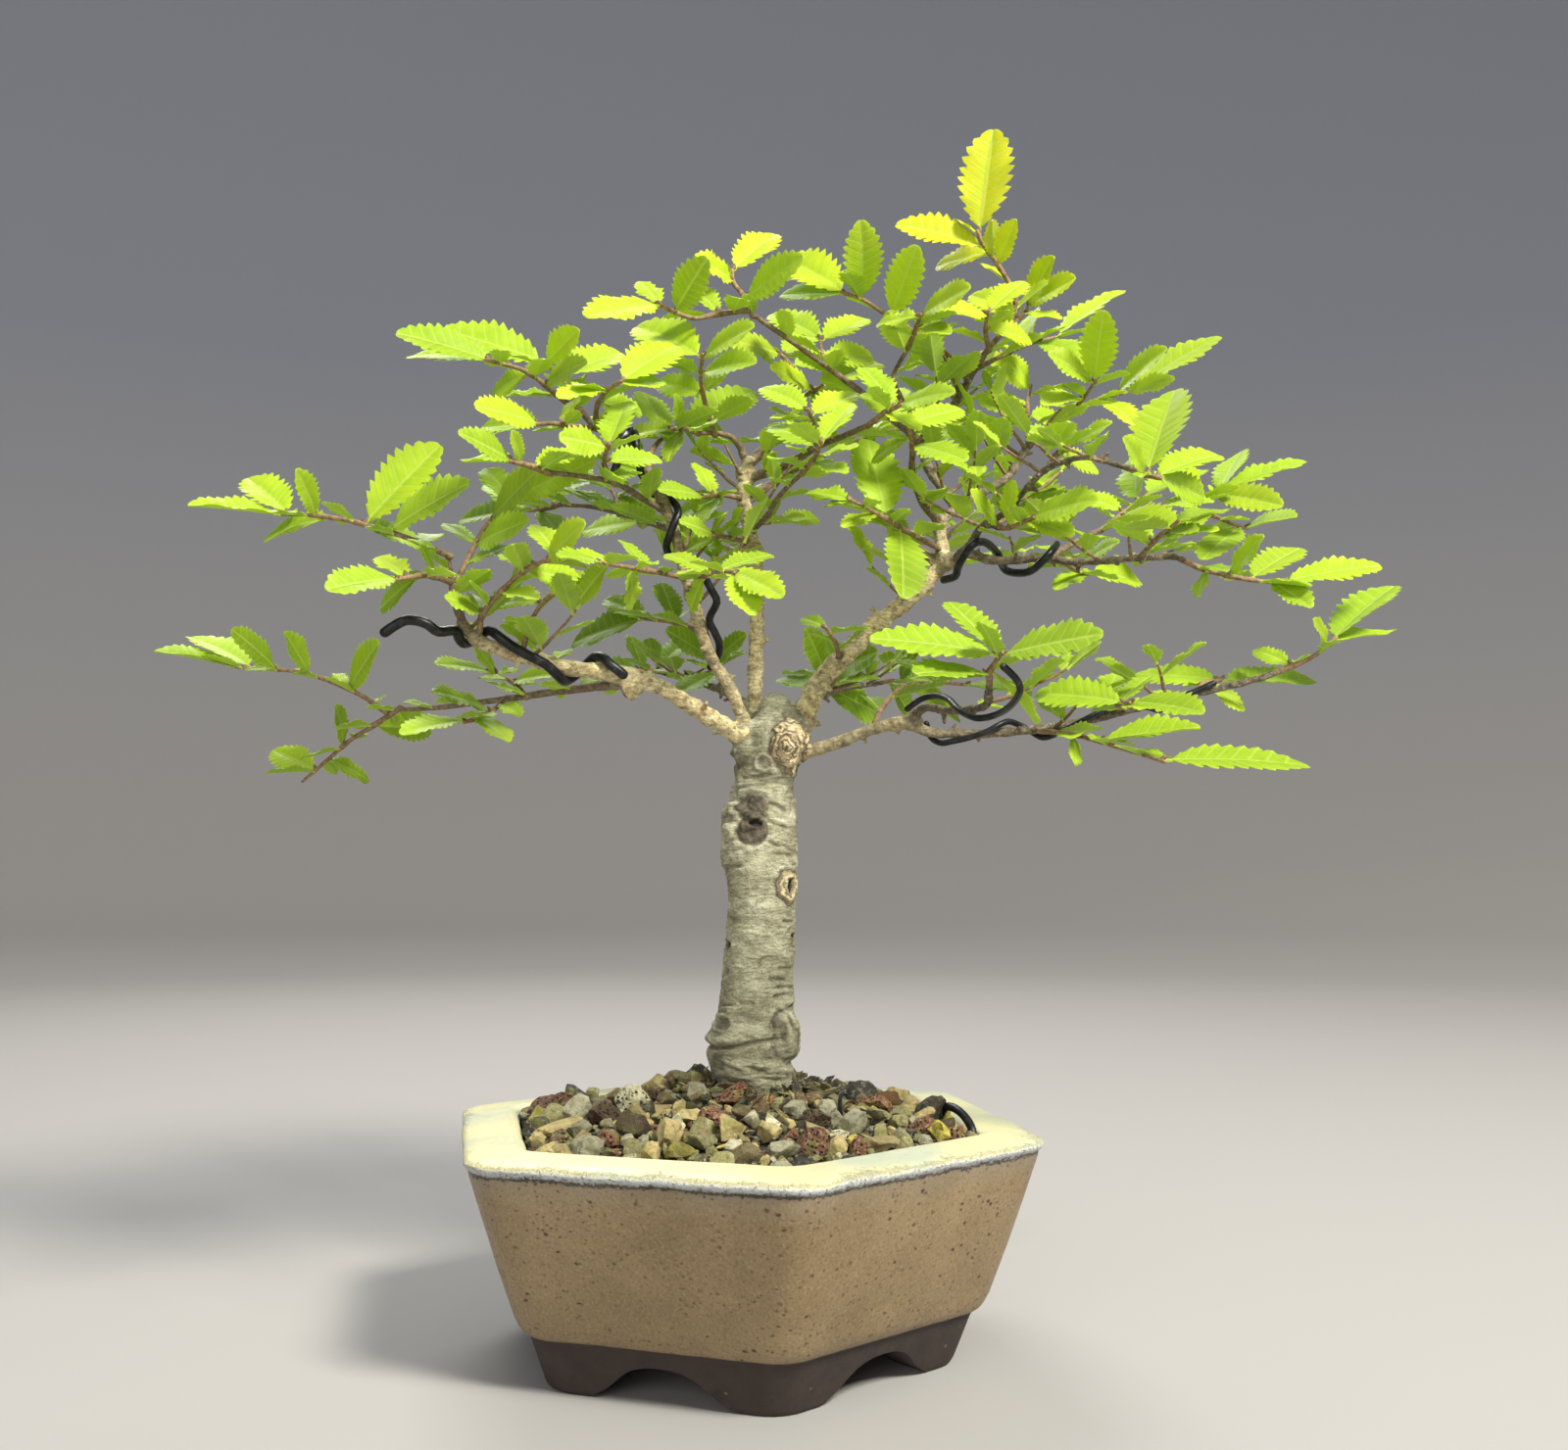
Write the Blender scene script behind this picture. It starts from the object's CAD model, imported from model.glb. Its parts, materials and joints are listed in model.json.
"""The look of the chinese elm bonsai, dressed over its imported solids.

Sizes and places are in millimetres, as in the part's source, and the meshes are made in metres.
Limbs, twigs, leaves and wires are given by points on the trunk's plane, as x and z, with a depth
behind that plane. seen() slides such a point along the line of sight from EYE.
"""

import json
import math
import random

import bmesh
import bpy
import numpy as np
from mathutils import Matrix, Vector
from mathutils.bvhtree import BVHTree

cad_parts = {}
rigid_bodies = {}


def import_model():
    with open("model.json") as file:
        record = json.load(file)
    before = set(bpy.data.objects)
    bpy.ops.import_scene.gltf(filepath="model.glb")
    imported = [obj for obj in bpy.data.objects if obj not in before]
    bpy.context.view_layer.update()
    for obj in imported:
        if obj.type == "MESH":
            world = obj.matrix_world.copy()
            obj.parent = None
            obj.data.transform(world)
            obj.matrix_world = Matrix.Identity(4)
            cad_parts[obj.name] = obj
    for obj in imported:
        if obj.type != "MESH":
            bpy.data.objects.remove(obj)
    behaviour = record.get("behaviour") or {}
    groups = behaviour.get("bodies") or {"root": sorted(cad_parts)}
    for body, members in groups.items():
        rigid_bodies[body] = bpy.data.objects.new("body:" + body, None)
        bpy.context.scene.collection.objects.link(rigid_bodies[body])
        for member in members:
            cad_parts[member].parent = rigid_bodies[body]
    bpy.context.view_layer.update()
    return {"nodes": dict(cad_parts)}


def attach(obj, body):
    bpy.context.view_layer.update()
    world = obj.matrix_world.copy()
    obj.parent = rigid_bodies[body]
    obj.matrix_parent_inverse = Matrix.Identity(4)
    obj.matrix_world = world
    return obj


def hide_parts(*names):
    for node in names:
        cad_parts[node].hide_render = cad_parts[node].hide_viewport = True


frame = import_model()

MM = 0.001
EYE = Vector((8.9, -303.0, 91.5))

# Pot: a hexagon whose corner radius changes with height, as rows of height and radius
POT_TURN = math.radians(11.95)
POT_CORNER_ROUNDING = 6.0
POT_INSIDE = ((11.0, 36.0), (13.0, 38.0), (36.0, 46.2), (39.4, 47.6), (40.8, 49.4))
POT_RECESS_RADIUS = 33.0
POT_RECESS_HEIGHT = 6.4
POT_RECESS_ROUNDING = 3.0
DRAIN_RADIUS = 7.5

# The gap that the solids leave where two of them touch
TOUCH_GAP = 0.3

# Trunk, as x, z, depth and radius from the buried foot up
TRUNK = (
    (2.8, 24, 0, 5.0), (2.8, 34, 0, 7.4), (2.8, 47, 0, 7.6), (2.5, 51, 0, 8.1),
    (2.4, 55.3, 0, 8.3), (2.7, 58, 0, 7.9), (2.9, 59.5, 0, 7.4), (3.2, 61.5, 0, 7.5),
    (3.6, 66, 0, 7.1), (4.1, 72, 0, 6.9), (4.5, 79, 0, 6.8), (4.7, 86, 0, 7.0),
    (4.4, 93, 0, 7.2), (4.3, 97.5, 0, 7.3), (4.6, 101, 0, 6.6), (4.9, 105, 0, 6.1),
    (5.2, 108, 0, 5.9), (6.4, 111.5, 0, 6.3), (7.4, 115, 0, 6.5), (7.5, 118.5, 0, 5.7),
    (7.2, 120.6, 0, 3.6),
)

# Limbs, as x, z, depth and radius from the root out
LIMBS = {
    "left": (
        (4, 113.5, 0, 2.2), (0.2, 115.5, -3, 1.9), (-9.4, 121.5, -7, 1.7), (-15.8, 125.2, -10, 1.6),
        (-22, 127.4, -12, 1.7), (-31.7, 128.7, -15, 1.5), (-41.4, 130.8, -18, 1.4),
        (-51.1, 134.1, -21, 1.25), (-55, 138, -23, 1.0),
    ),
    "left_riser": (
        (-54.5, 137.5, -23, 0.9), (-56.5, 143, -25, 0.8), (-57.3, 148, -26, 0.7),
        (-58, 151.5, -26, 0.65),
    ),
    "low_left": (
        (-22, 127, -12, 1.2), (-24, 125.6, -11, 1.0), (-30, 125, -8, 0.9), (-37.5, 124, -4, 0.85),
        (-44, 123, 0, 0.8), (-52, 122, 4, 0.75), (-60, 121, 9, 0.7), (-70, 120.6, 14, 0.65),
    ),
    "upper_left": (
        (5, 114, 0, 1.7), (1.4, 118, -3, 1.35), (-1.9, 125.2, -5, 1.25), (-4.8, 129.9, -6, 1.2),
        (-7.2, 135.7, -8, 1.25), (-9.2, 142.9, -9, 1.4), (-11.1, 149.2, -10, 1.2),
        (-13.1, 157.1, -11, 1.15), (-16.1, 164, -12, 1.1), (-18.9, 169.6, -13, 1.0),
        (-22, 174.4, -14, 0.95), (-24, 175.6, -14, 0.9),
    ),
    "upper_left_end": (
        (-23, 174.8, -14, 0.9), (-28.7, 177.4, -16, 0.8), (-31.5, 180.3, -17, 0.7),
    ),
    "upper_left_fork": (
        (-14.2, 160, -11, 0.8), (-20, 163.4, -17, 0.7), (-25, 166.2, -24, 0.65),
        (-32, 167.5, -30, 0.6), (-38.2, 168.2, -34, 0.6),
    ),
    "upper_left_back": (
        (-13, 156.5, -11, 0.8), (-19, 158.5, -3, 0.7), (-24, 160, 6, 0.65), (-30, 161.3, 15, 0.6),
        (-36, 161.6, 22, 0.6),
    ),
    "centre": (
        (5.5, 114, 0, 1.9), (3.1, 119.7, 4, 1.65), (3.3, 127.4, 6, 1.55), (3.5, 142.1, 8, 1.5),
        (2.8, 149.5, 9, 2.1), (2.1, 153, 9, 2.3), (1.9, 158, 9, 1.6), (0.6, 163.7, 9, 1.5),
        (2.0, 167.5, 9, 1.5), (1.5, 170.5, 9, 1.25),
    ),
    "centre_left": (
        (1.5, 170, 9, 1.0), (0.2, 173.2, 8, 0.85), (-1.5, 175.3, 6, 0.75), (-4.5, 176.2, 3, 0.7),
        (-8.5, 176.2, 0, 0.65),
    ),
    "centre_up": (
        (1.6, 169.5, 9, 1.1), (5, 173.5, 14, 0.95), (9, 177.5, 20, 0.85), (11, 181.5, 25, 0.8),
        (11.3, 187, 30, 0.7),
    ),
    "centre_right": (
        (2.0, 167, 9, 1.1), (10, 170, 3, 0.95), (15.5, 173.5, -4, 0.85), (20.7, 175.6, -11, 0.8),
        (26, 178, -18, 0.7),
    ),
    "centre_far": (
        (0.8, 163, 9, 0.9), (8, 166.8, 18, 0.75), (15, 170.8, 28, 0.7), (25, 175.4, 40, 0.6),
    ),
    "centre_near": (
        (1.9, 156, 9, 0.9), (5.6, 159.5, 1, 0.7), (8, 163.5, -7, 0.65), (12.6, 168.2, -17, 0.6),
    ),
    "centre_back": (
        (2, 152, 9, 1.1), (-1.5, 152.5, 20, 0.9), (-5.5, 154.5, 34, 0.75), (-12, 157, 48, 0.65),
    ),
    "right": (
        (8, 112, 0, 2.7), (12.4, 118, 1, 2.3), (15.5, 125.4, 2, 2.0), (21.1, 131.6, 3, 1.85),
        (26.5, 137.2, 4, 1.95), (33, 142.1, 5, 1.75), (38.5, 147.5, 6, 1.65), (40.3, 151.5, 6, 1.45),
        (39.7, 157.5, 6, 1.2), (40.2, 160, 6, 1.15),
    ),
    "right_inner": (
        (39.9, 158, 6, 1.1), (36.4, 162.4, 0, 0.95), (34.5, 168.2, -7, 0.85), (34.6, 172.5, -12, 0.75),
    ),
    "right_outer": (
        (39.8, 157.5, 6, 1.1), (43.9, 161.7, 9, 1.05), (49.5, 164.7, 12, 0.95), (54, 167.8, 15, 0.9),
        (57.2, 173, 18, 0.85), (59.6, 175.8, 20, 0.8),
    ),
    "outer_end": (
        (59.4, 175.6, 20, 0.8), (62.6, 177.8, 22, 0.75), (66.6, 180.1, 24, 0.7),
    ),
    "right_back": (
        (35, 144, 5, 1.1), (38, 150, 20, 0.9), (42, 156, 36, 0.75), (48, 161, 52, 0.65),
    ),
    "crown": (
        (43.2, 161, 9, 1.05), (38.4, 167.8, 11, 1.0), (36, 173.6, 12, 0.95), (33.5, 176.8, 11, 0.95),
        (30.9, 178.9, 10, 0.9),
    ),
    "crown_end": (
        (31.4, 178.4, 10, 0.85), (27.8, 182, 8, 0.8), (19.9, 188, 4, 0.75), (11.1, 194.5, -2, 0.7),
        (1.5, 201.4, -8, 0.65),
    ),
    "crown_upright": (
        (34.4, 175.8, 11, 0.8), (33, 181.5, 4, 0.75), (30.9, 186.6, 0, 0.7), (31.2, 189, -1, 0.65),
        (34, 194, -6, 0.6),
    ),
    "apex": (
        (36.2, 173, 12, 1.0), (38.4, 175.2, 12, 0.95), (41.6, 180, 11, 0.9), (44.9, 185.2, 9, 0.85),
        (47.2, 189.4, 8, 0.8),
    ),
    "apex_end": (
        (47, 189, 8, 0.75), (50, 193.6, 6, 0.7), (54, 198.2, 4, 0.65),
    ),
    "right_mid": (
        (38.6, 147.6, 6, 1.3), (44.6, 151.6, 3, 1.1), (50.6, 150.4, 0, 0.95), (61.5, 150.8, -5, 0.85),
        (67.3, 150, -8, 0.8), (79.5, 151, -14, 0.75), (86.5, 151.2, -17, 0.7),
    ),
    "right_shoulder": (
        (61.5, 150.8, -5, 0.75), (67.3, 154.4, 3, 0.7), (75.5, 158.1, 12, 0.65),
        (85.4, 161.5, 20, 0.6), (90.7, 162.1, 24, 0.6),
    ),
    "right_arch": (
        (42.5, 150.4, 4, 0.95), (46, 154, -2, 0.8), (48.5, 157.5, -7, 0.75), (53.3, 160.3, -14, 0.7),
        (57.8, 165.5, -21, 0.65), (62, 169.4, -26, 0.65), (69.3, 171.3, -32, 0.6),
        (77.5, 169.1, -37, 0.6),
    ),
    "low_right": (
        (10, 111, 0, 1.5), (13.5, 112.2, -3, 1.3), (19.9, 114.3, -6, 1.2), (26.1, 116.7, -9, 1.15),
        (33, 118, -12, 1.25), (37.8, 116.1, -13, 1.0), (47.5, 115.9, -14, 0.95),
        (57.7, 116.7, -15, 0.9), (65, 117.8, -16, 0.85), (75.5, 120.2, -16, 0.8),
        (85.7, 123.1, -16, 0.75), (95.4, 125, -17, 0.7), (105, 127.6, -18, 0.65),
    ),
    "low_right_near": (
        (33, 118.2, -12, 1.0), (36.7, 121, -16, 0.85), (41.9, 120.4, -27, 0.8),
        (48.3, 121.3, -40, 0.75), (49.3, 124.5, -50, 0.7),
    ),
    "back_left": (
        (6, 114, 2, 1.6), (4, 118.5, 16, 1.3), (0, 122.5, 30, 1.1), (-5.2, 125.2, 42, 0.9),
        (-13.7, 127.7, 54, 0.7),
    ),
    "back_right": (
        (8, 114, 2, 1.6), (9, 118.5, 16, 1.3), (12, 121.8, 32, 1.1), (20, 124.8, 46, 0.85),
        (27, 125.8, 56, 0.7),
    ),
}

# Thin limbs that are one piece with their sprays, and the limbs that they grow from
STEMS = {
    "left_riser": "left", "low_left": "left", "upper_left_fork": "upper_left",
    "upper_left_back": "upper_left", "upper_left_end": "upper_left", "centre_left": "centre",
    "centre_up": "centre", "centre_right": "centre", "centre_far": "centre",
    "centre_near": "centre", "centre_back": "centre", "right_inner": "right", "right_back": "right",
    "outer_end": "right_outer", "crown_end": "crown", "crown_upright": "crown",
    "apex_end": "apex", "right_shoulder": "right_mid",
}
MAIN_LIMBS = {name: rows for name, rows in LIMBS.items() if name not in STEMS}

# Rough knots and callus on the wood, as x, z, depth and radii along x, y and z
KNOTS = (
    (9.4, 57.5, -2.6, 3.4, 3.8, 3.6), (9.5, 114.6, -2.6, 4.6, 5.0, 5.4), (-0.8, 97.2, -3, 2.0, 2.4, 1.4),
    (-20.8, 124.8, -12, 2.1, 2.0, 2.1), (-9.4, 144, -9.5, 1.9, 2.0, 1.7), (2.4, 151.6, 9, 3.0, 3.0, 2.2),
    (27.6, 137.6, 4, 2.6, 2.8, 2.3), (41.4, 150.2, 4.5, 2.1, 2.0, 1.9), (33.6, 118, -12, 1.6, 1.6, 1.5),
    (1.0, 167.8, 9, 2.0, 2.0, 1.8), (2.0, 112.6, -2, 3.0, 3.4, 2.6), (36, 174.2, 12, 1.3, 1.3, 1.3),
)

# Sprays: the limb they grow from, the depth of their tip, the twig's points on the trunk's plane,
# and their leaves as a share of the twig's length, the leaf's tip and its roll towards the front
SPRAYS = {
    "left_tip": (
        "left_riser", -10,
        ((-58, 151.5), (-66, 155), (-72, 156.8), (-78, 158.5), (-85, 159.5), (-92, 159.8)),
        ((1, -110, 161.5, 14), (0.93, -98, 167, 55), (0.78, -88.5, 169, 55), (0.7, -94, 155, 18),
         (0.5, -59.5, 173.8, 55), (0.36, -53.5, 166, 35), (0.55, -61, 152.5, 28)),
    ),
    "left_mid": (
        "left_riser", -44, ((-57, 146), (-62, 147.4), (-68, 146.6)),
        ((1, -82, 144.4, 35), (0.8, -72, 151, 40), (0.6, -71, 140.6, 28), (0.35, -63.5, 153.5, 30)),
    ),
    "left_upright": (
        "left_riser", -8, ((-56.5, 144.5), (-54, 150.5), (-50, 158), (-45, 163)),
        ((1, -28.5, 170.6, 45), (0.98, -50.5, 169, 60), (0.72, -40, 168.6, 35), (0.45, -41.8, 158.3, 40)),
    ),
    "left_fan": (
        "left", -36, ((-52, 134.4), (-50.6, 140), (-46, 145.4), (-43, 148), (-39.5, 150), (-34.5, 151.2)),
        ((1, -24.5, 150.3, 20), (0.95, -41, 157.6, 50), (0.75, -47.5, 151.6, 35),
         (0.66, -31.5, 146.4, 60), (0.42, -39.6, 142.6, 30), (0.85, -30.5, 158, 45),
         (0.2, -58.4, 143, 35)),
    ),
    "left_sprig": (
        "left", -30, ((-43, 131.4), (-41.4, 137.6), (-39, 141.9), (-36.6, 143.9)),
        ((1, -29.6, 148, 30), (0.8, -49.2, 141.4, 25), (0.45, -46.6, 138.2, 40)),
    ),
    "low_left_tip": (
        "low_left", 30,
        ((-70, 120.6), (-74.5, 123.6), (-80, 126), (-86, 128), (-93, 128.7), (-100, 129.2)),
        ((1, -115.6, 132.2, 16), (0.87, -108.5, 135, 30), (0.72, -100.5, 136.6, 45),
         (0.52, -90, 136, 45), (0.25, -71, 134, 38)),
    ),
    "low_left_drop": (
        "low_left", 30, ((-67, 120.8), (-72, 117.4), (-76.5, 114.5), (-81, 110.5), (-85.5, 106.5)),
        ((0.85, -91.5, 112.6, 60), (0.55, -79.5, 121.6, 35), (0.25, -60.5, 116.6, 62),
         (0.72, -72.5, 106.6, 35)),
    ),
    "low_left_under": (
        "low_left", -12, ((-46, 122.8), (-49.6, 119.6), (-54, 118.2)),
        ((1, -66.5, 115.6, 25), (0.75, -45.2, 114.2, 35), (0.4, -60.5, 124.2, 20)),
    ),
    "low_left_over": (
        "low_left", 18, ((-42, 123.4), (-45, 126.4), (-49, 128)),
        ((1, -60, 129.6, 20), (0.85, -53, 134.5, 30), (0.45, -34.5, 127.6, 30)),
    ),
    "upper_left_tip": (
        "upper_left_end", -26,
        ((-31.5, 180.3), (-35.8, 183.2), (-40.2, 187), (-44.2, 189.4), (-50.9, 191.2)),
        ((1, -69.3, 196.6, 35), (0.96, -66.1, 191.8, 22), (0.6, -49.5, 184.2, 45), (0.42, -30.6, 190.6, 40)),
    ),
    "upper_left_crest": (
        "upper_left_end", 2, ((-31, 179.8), (-34, 184.6), (-36, 188.2), (-39.4, 191)),
        ((1, -60, 197.4, 40), (0.98, -32.2, 197.5, 60), (0.66, -23.8, 192.6, 40)),
    ),
    "upper_left_bright": (
        "upper_left_end", -36, ((-28.6, 177.4), (-28.6, 181.4), (-26.8, 184.8), (-23.8, 186.8)),
        ((1, -12.6, 194, 50), (0.95, -15, 186.6, 35), (0.7, -36.6, 183.4, 25), (0.45, -19.6, 180.2, 45)),
    ),
    "upper_left_side": (
        "upper_left_end", -30, ((-28, 177), (-33, 177.6), (-37.5, 178.2), (-40.5, 178)),
        ((1, -53.2, 181.6, 35), (0.96, -51.6, 177.2, 35), (0.6, -32, 184, 28)),
    ),
    "upper_left_low": (
        "upper_left_fork", -44, ((-38.2, 168.2), (-42, 169.6), (-46, 170.6)),
        ((1, -56.4, 176.2, 45), (0.97, -55, 170.4, 16), (0.7, -45.6, 176.8, 45), (0.4, -31.5, 172.6, 35)),
    ),
    "upper_left_inner": (
        "upper_left_fork", -38, ((-25, 166.2), (-27, 170), (-26, 174)),
        ((1, -22.6, 182.6, 50), (0.9, -36.2, 175.4, 55), (0.55, -15.6, 170.6, 35)),
    ),
    "upper_left_shade": (
        "upper_left_back", 36, ((-36, 161.6), (-40, 160.6), (-44, 160.4)),
        ((1, -55.6, 158.4, 25), (0.8, -50.5, 165.6, 35), (0.5, -35.2, 154.2, 50),
         (0.2, -30.4, 169.4, 45)),
    ),
    "upper_left_hidden": (
        "upper_left_back", 26, ((-24, 160), (-25, 164), (-28, 166.6)),
        ((1, -38.6, 164, 20), (0.8, -19.5, 169.5, 40), (0.45, -18.2, 158.4, 30)),
    ),
    "upper_left_right": (
        "upper_left", 2, ((-19, 169.8), (-17, 173.4), (-14.5, 176), (-10.4, 178.6)),
        ((1, 3.2, 184.6, 45), (0.92, -3.5, 176.8, 30), (0.6, -19.6, 184.6, 45)),
    ),
    "upper_left_young": (
        "upper_left", -42, ((-10.7, 146.8), (-18.3, 148.4), (-27.7, 150)),
        ((1, -36, 151, 20), (0.9, -31.4, 142.6, 50), (0.66, -21.6, 140.4, 45), (0.45, -23.6, 154.4, 25)),
    ),
    "front_cluster": (
        "upper_left", -46, ((-9.4, 144.6), (-7, 147.2), (-4.2, 148.2), (-1, 148)),
        ((1, 8.8, 143, 50), (0.97, 2.6, 139.2, 62), (0.7, 6.6, 151.4, 25), (0.4, -9.6, 140.2, 45),
         (0.5, -14.6, 151.6, 30)),
    ),
    "upper_left_dark": (
        "upper_left", 8, ((-7.2, 136), (-11.5, 137.8), (-15.8, 138.4), (-19.4, 138.8)),
        ((1, -33, 133.6, 35), (0.9, -26.6, 142.6, 50), (0.45, -15.6, 146, 50)),
    ),
    "centre_crest": (
        "centre_left", -16, ((-5, 176.2), (-6.8, 182), (-7.8, 187.5), (-7.4, 192.4)),
        ((1, -20.8, 198, 50), (0.98, 3, 198.2, 35), (0.75, 3.4, 190.6, 40), (0.5, -16.4, 186.6, 60)),
    ),
    "centre_left_tip": (
        "centre_left", -12, ((-8.5, 176.2), (-11, 177.2), (-13.6, 177)),
        ((1, -22.6, 175.6, 30), (0.7, -13.2, 184.2, 40), (0.6, -14.2, 170.2, 40)),
    ),
    "centre_low_left": (
        "centre", -8, ((0.8, 163), (-3.4, 163.6), (-7.4, 163.2)),
        ((1, -16.4, 164.6, 28), (0.75, -8.6, 170, 40), (0.5, -8, 157.4, 35)),
    ),
    "centre_burr": (
        "centre", -10, ((1.8, 154), (-2.2, 155), (-5.2, 155.4)),
        ((1, -12, 158.2, 40), (0.9, -10.6, 152.2, 35), (0.5, 0.6, 161, 25)),
    ),
    "centre_spur": (
        "centre", 26, ((1.8, 158), (5.4, 158), (8.2, 158.2)),
        ((1, 15.6, 158.8, 35), (0.7, 8.4, 163.4, 30)),
    ),
    "centre_shade": (
        "centre_back", 55, ((-12, 157), (-16, 158.4), (-20, 158)),
        ((1, -31, 156.2, 35), (0.85, -19, 166, 40), (0.6, -12.6, 150, 45), (0.3, -3.6, 163, 35)),
    ),
    "centre_high": (
        "centre_up", 40, ((11.3, 187), (10, 190.4), (8, 192.6)),
        ((1, -3.6, 195.4, 40), (0.9, 15.6, 197.4, 45), (0.5, 21.4, 190.4, 40)),
    ),
    "centre_high_side": (
        "centre_up", 12, ((11, 182), (13.4, 184), (16.6, 186)),
        ((1, 28, 190.4, 35), (0.7, 6, 189.6, 35), (0.6, 20, 179.6, 40)),
    ),
    "centre_right_tip": (
        "centre_right", -26, ((26, 178), (29, 180.4), (32.4, 182)),
        ((1, 43.2, 184.6, 35), (0.8, 24.4, 189.6, 45), (0.5, 36.2, 176.6, 35)),
    ),
    "centre_right_mid": (
        "centre_right", -26, ((14.5, 172.8), (15, 177), (13.8, 181)),
        ((1, 4.4, 185.4, 45), (0.85, 23.6, 184.4, 40), (0.5, 6.8, 175.6, 30)),
    ),
    "centre_far_tip": (
        "centre_far", 52, ((25, 175.4), (29, 176.8), (33, 177)),
        ((1, 44.6, 175.6, 30), (0.7, 27.6, 185.6, 50), (0.3, 23, 168.4, 55)),
    ),
    "centre_near_tip": (
        "centre_near", -32, ((12.6, 168.2), (15, 171.2), (16.4, 174.6)),
        ((1, 22.6, 182.2, 40), (0.8, 6.2, 177.6, 35), (0.4, 21.6, 168, 30)),
    ),
    "crown_tip": (
        "crown_end", -20, ((1.5, 201.4), (-4.9, 200.6), (-9, 199.8), (-13, 201), (-16.8, 203)),
        ((1, -31.2, 200, 30), (0.98, -20.4, 207.4, 50), (0.78, -6.4, 212.4, 70), (0.3, -9.6, 206.4, 45)),
    ),
    "crown_sprig": (
        "crown_end", -2, ((2.4, 200.8), (0.6, 204.6), (-1.4, 207.4), (-1.5, 210.4)),
        ((1, 7.2, 217.2, 50), (0.7, -9.2, 212.6, 40), (0.3, 13, 212.6, 50)),
    ),
    "crown_inner": (
        "crown_end", 20, ((19.9, 188), (17, 191), (16.2, 196)),
        ((1, 6.4, 200.6, 40), (0.9, 25.6, 199.6, 40), (0.5, 26.6, 192, 50)),
    ),
    "crown_bridge": (
        "apex", -6, ((46.4, 188), (40.7, 193), (35, 197.1), (29.3, 200.6), (24.9, 203.6), (20.5, 205.2)),
        ((1, 8.6, 212, 50), (0.97, 8.4, 204.6, 32), (0.86, 24.4, 220.4, 75), (0.64, 36, 215, 62),
         (0.25, 33, 189.6, 40)),
    ),
    "crown_upright_tip": (
        "crown_upright", -22, ((34, 194), (35.4, 197.6), (36.4, 200.6)),
        ((1, 46.6, 206.2, 35), (0.95, 27.6, 198.4, 24), (0.6, 42.6, 196.6, 35)),
    ),
    "apex_tip": (
        "apex_end", -2, ((54, 198.2), (55.5, 204), (52.2, 210.7), (49.2, 215), (48, 218)),
        ((1, 51.5, 239.4, 75), (0.82, 31.4, 219.2, 35), (0.62, 56, 220.4, 60), (0.75, 39.6, 210.4, 28)),
    ),
    "apex_side": (
        "apex_end", 16, ((53.4, 197.4), (56.4, 200), (58.2, 202.6)),
        ((1, 63.6, 212.6, 45), (0.97, 67.8, 208.2, 40), (0.7, 64.8, 199.6, 20), (0.5, 46.6, 204.6, 45)),
    ),
    "apex_inner": (
        "apex_end", -12, ((50, 193.6), (49.4, 197.6), (50, 201.4)),
        ((1, 57.4, 207.4, 40), (0.9, 39.6, 201, 30), (0.5, 58.6, 195, 35)),
    ),
    "apex_twig": (
        "apex", 30, ((47.2, 189.2), (54.2, 192.8), (59, 194.8), (64.1, 196)),
        ((1, 77.4, 205.5, 18), (0.62, 59.6, 201.6, 35), (0.75, 70, 190.6, 35), (0.4, 58, 185.6, 40)),
    ),
    "outer_tip": (
        "outer_end", 36, ((66.6, 180.1), (72.3, 183.3), (78.6, 184.8)),
        ((1, 96.8, 196, 25), (0.75, 86, 193.6, 30), (0.5, 79.4, 177.6, 30)),
    ),
    "outer_upright": (
        "outer_end", 10, ((66, 179.8), (69, 183.6), (71.5, 187)),
        ((1, 73.4, 201.6, 75), (0.96, 61.8, 192.6, 45), (0.5, 60.6, 181.8, 28)),
    ),
    "outer_inner": (
        "right_outer", 42, ((57.6, 173.6), (57.6, 181.2), (58.4, 186)),
        ((1, 50, 191.4, 40), (0.6, 47.6, 182.6, 45), (0.5, 67.6, 176.4, 30)),
    ),
    "arch_tip": (
        "right_arch", -44, ((77.5, 169.1), (80.8, 167.8), (84, 167)),
        ((1, 95.8, 171.6, 28), (0.95, 92.6, 163, 58), (0.6, 87.4, 185, 60), (0.5, 76.6, 175.4, 40)),
    ),
    "arch_low": (
        "right_arch", -24, ((48.5, 157.5), (53.6, 157), (58.5, 159)),
        ((1, 71.6, 162.6, 35), (0.85, 66.4, 155.2, 35), (0.5, 55, 166.6, 40), (0.3, 46, 164.6, 35)),
    ),
    "arch_mid": (
        "right_arch", -22, ((61, 168.6), (63.4, 172), (67, 174.4)),
        ((1, 74.6, 178.4, 40), (0.8, 57.6, 176.6, 35), (0.5, 71.6, 168.4, 40)),
    ),
    "shoulder_tip": (
        "right_shoulder", 32, ((90.7, 162.1), (93.6, 163.4), (96.4, 164.7)),
        ((1, 113.2, 170.4, 22), (0.95, 100.6, 172.6, 35), (0.6, 108.4, 161.4, 50), (0.4, 86, 169.6, 40)),
    ),
    "shoulder_mid": (
        "right_shoulder", 30, ((72, 156.6), (76.4, 160), (81, 163.6)),
        ((1, 92.4, 168.6, 30), (0.8, 79.6, 172.4, 45), (0.5, 66.6, 163.6, 35), (0.4, 87.6, 157, 40)),
    ),
    "shoulder_drop": (
        "right_shoulder", 40, ((89, 161.9), (94, 159.6), (97.6, 158), (101, 156.8)),
        ((1, 111, 159.2, 22), (0.9, 92, 150.4, 48), (0.4, 86.4, 154.4, 30)),
    ),
    "right_mid_tip": (
        "right_mid", -18, ((86.5, 151.2), (91.7, 148.8), (96.8, 147.4), (102.4, 146.4), (108.6, 145.9)),
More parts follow.
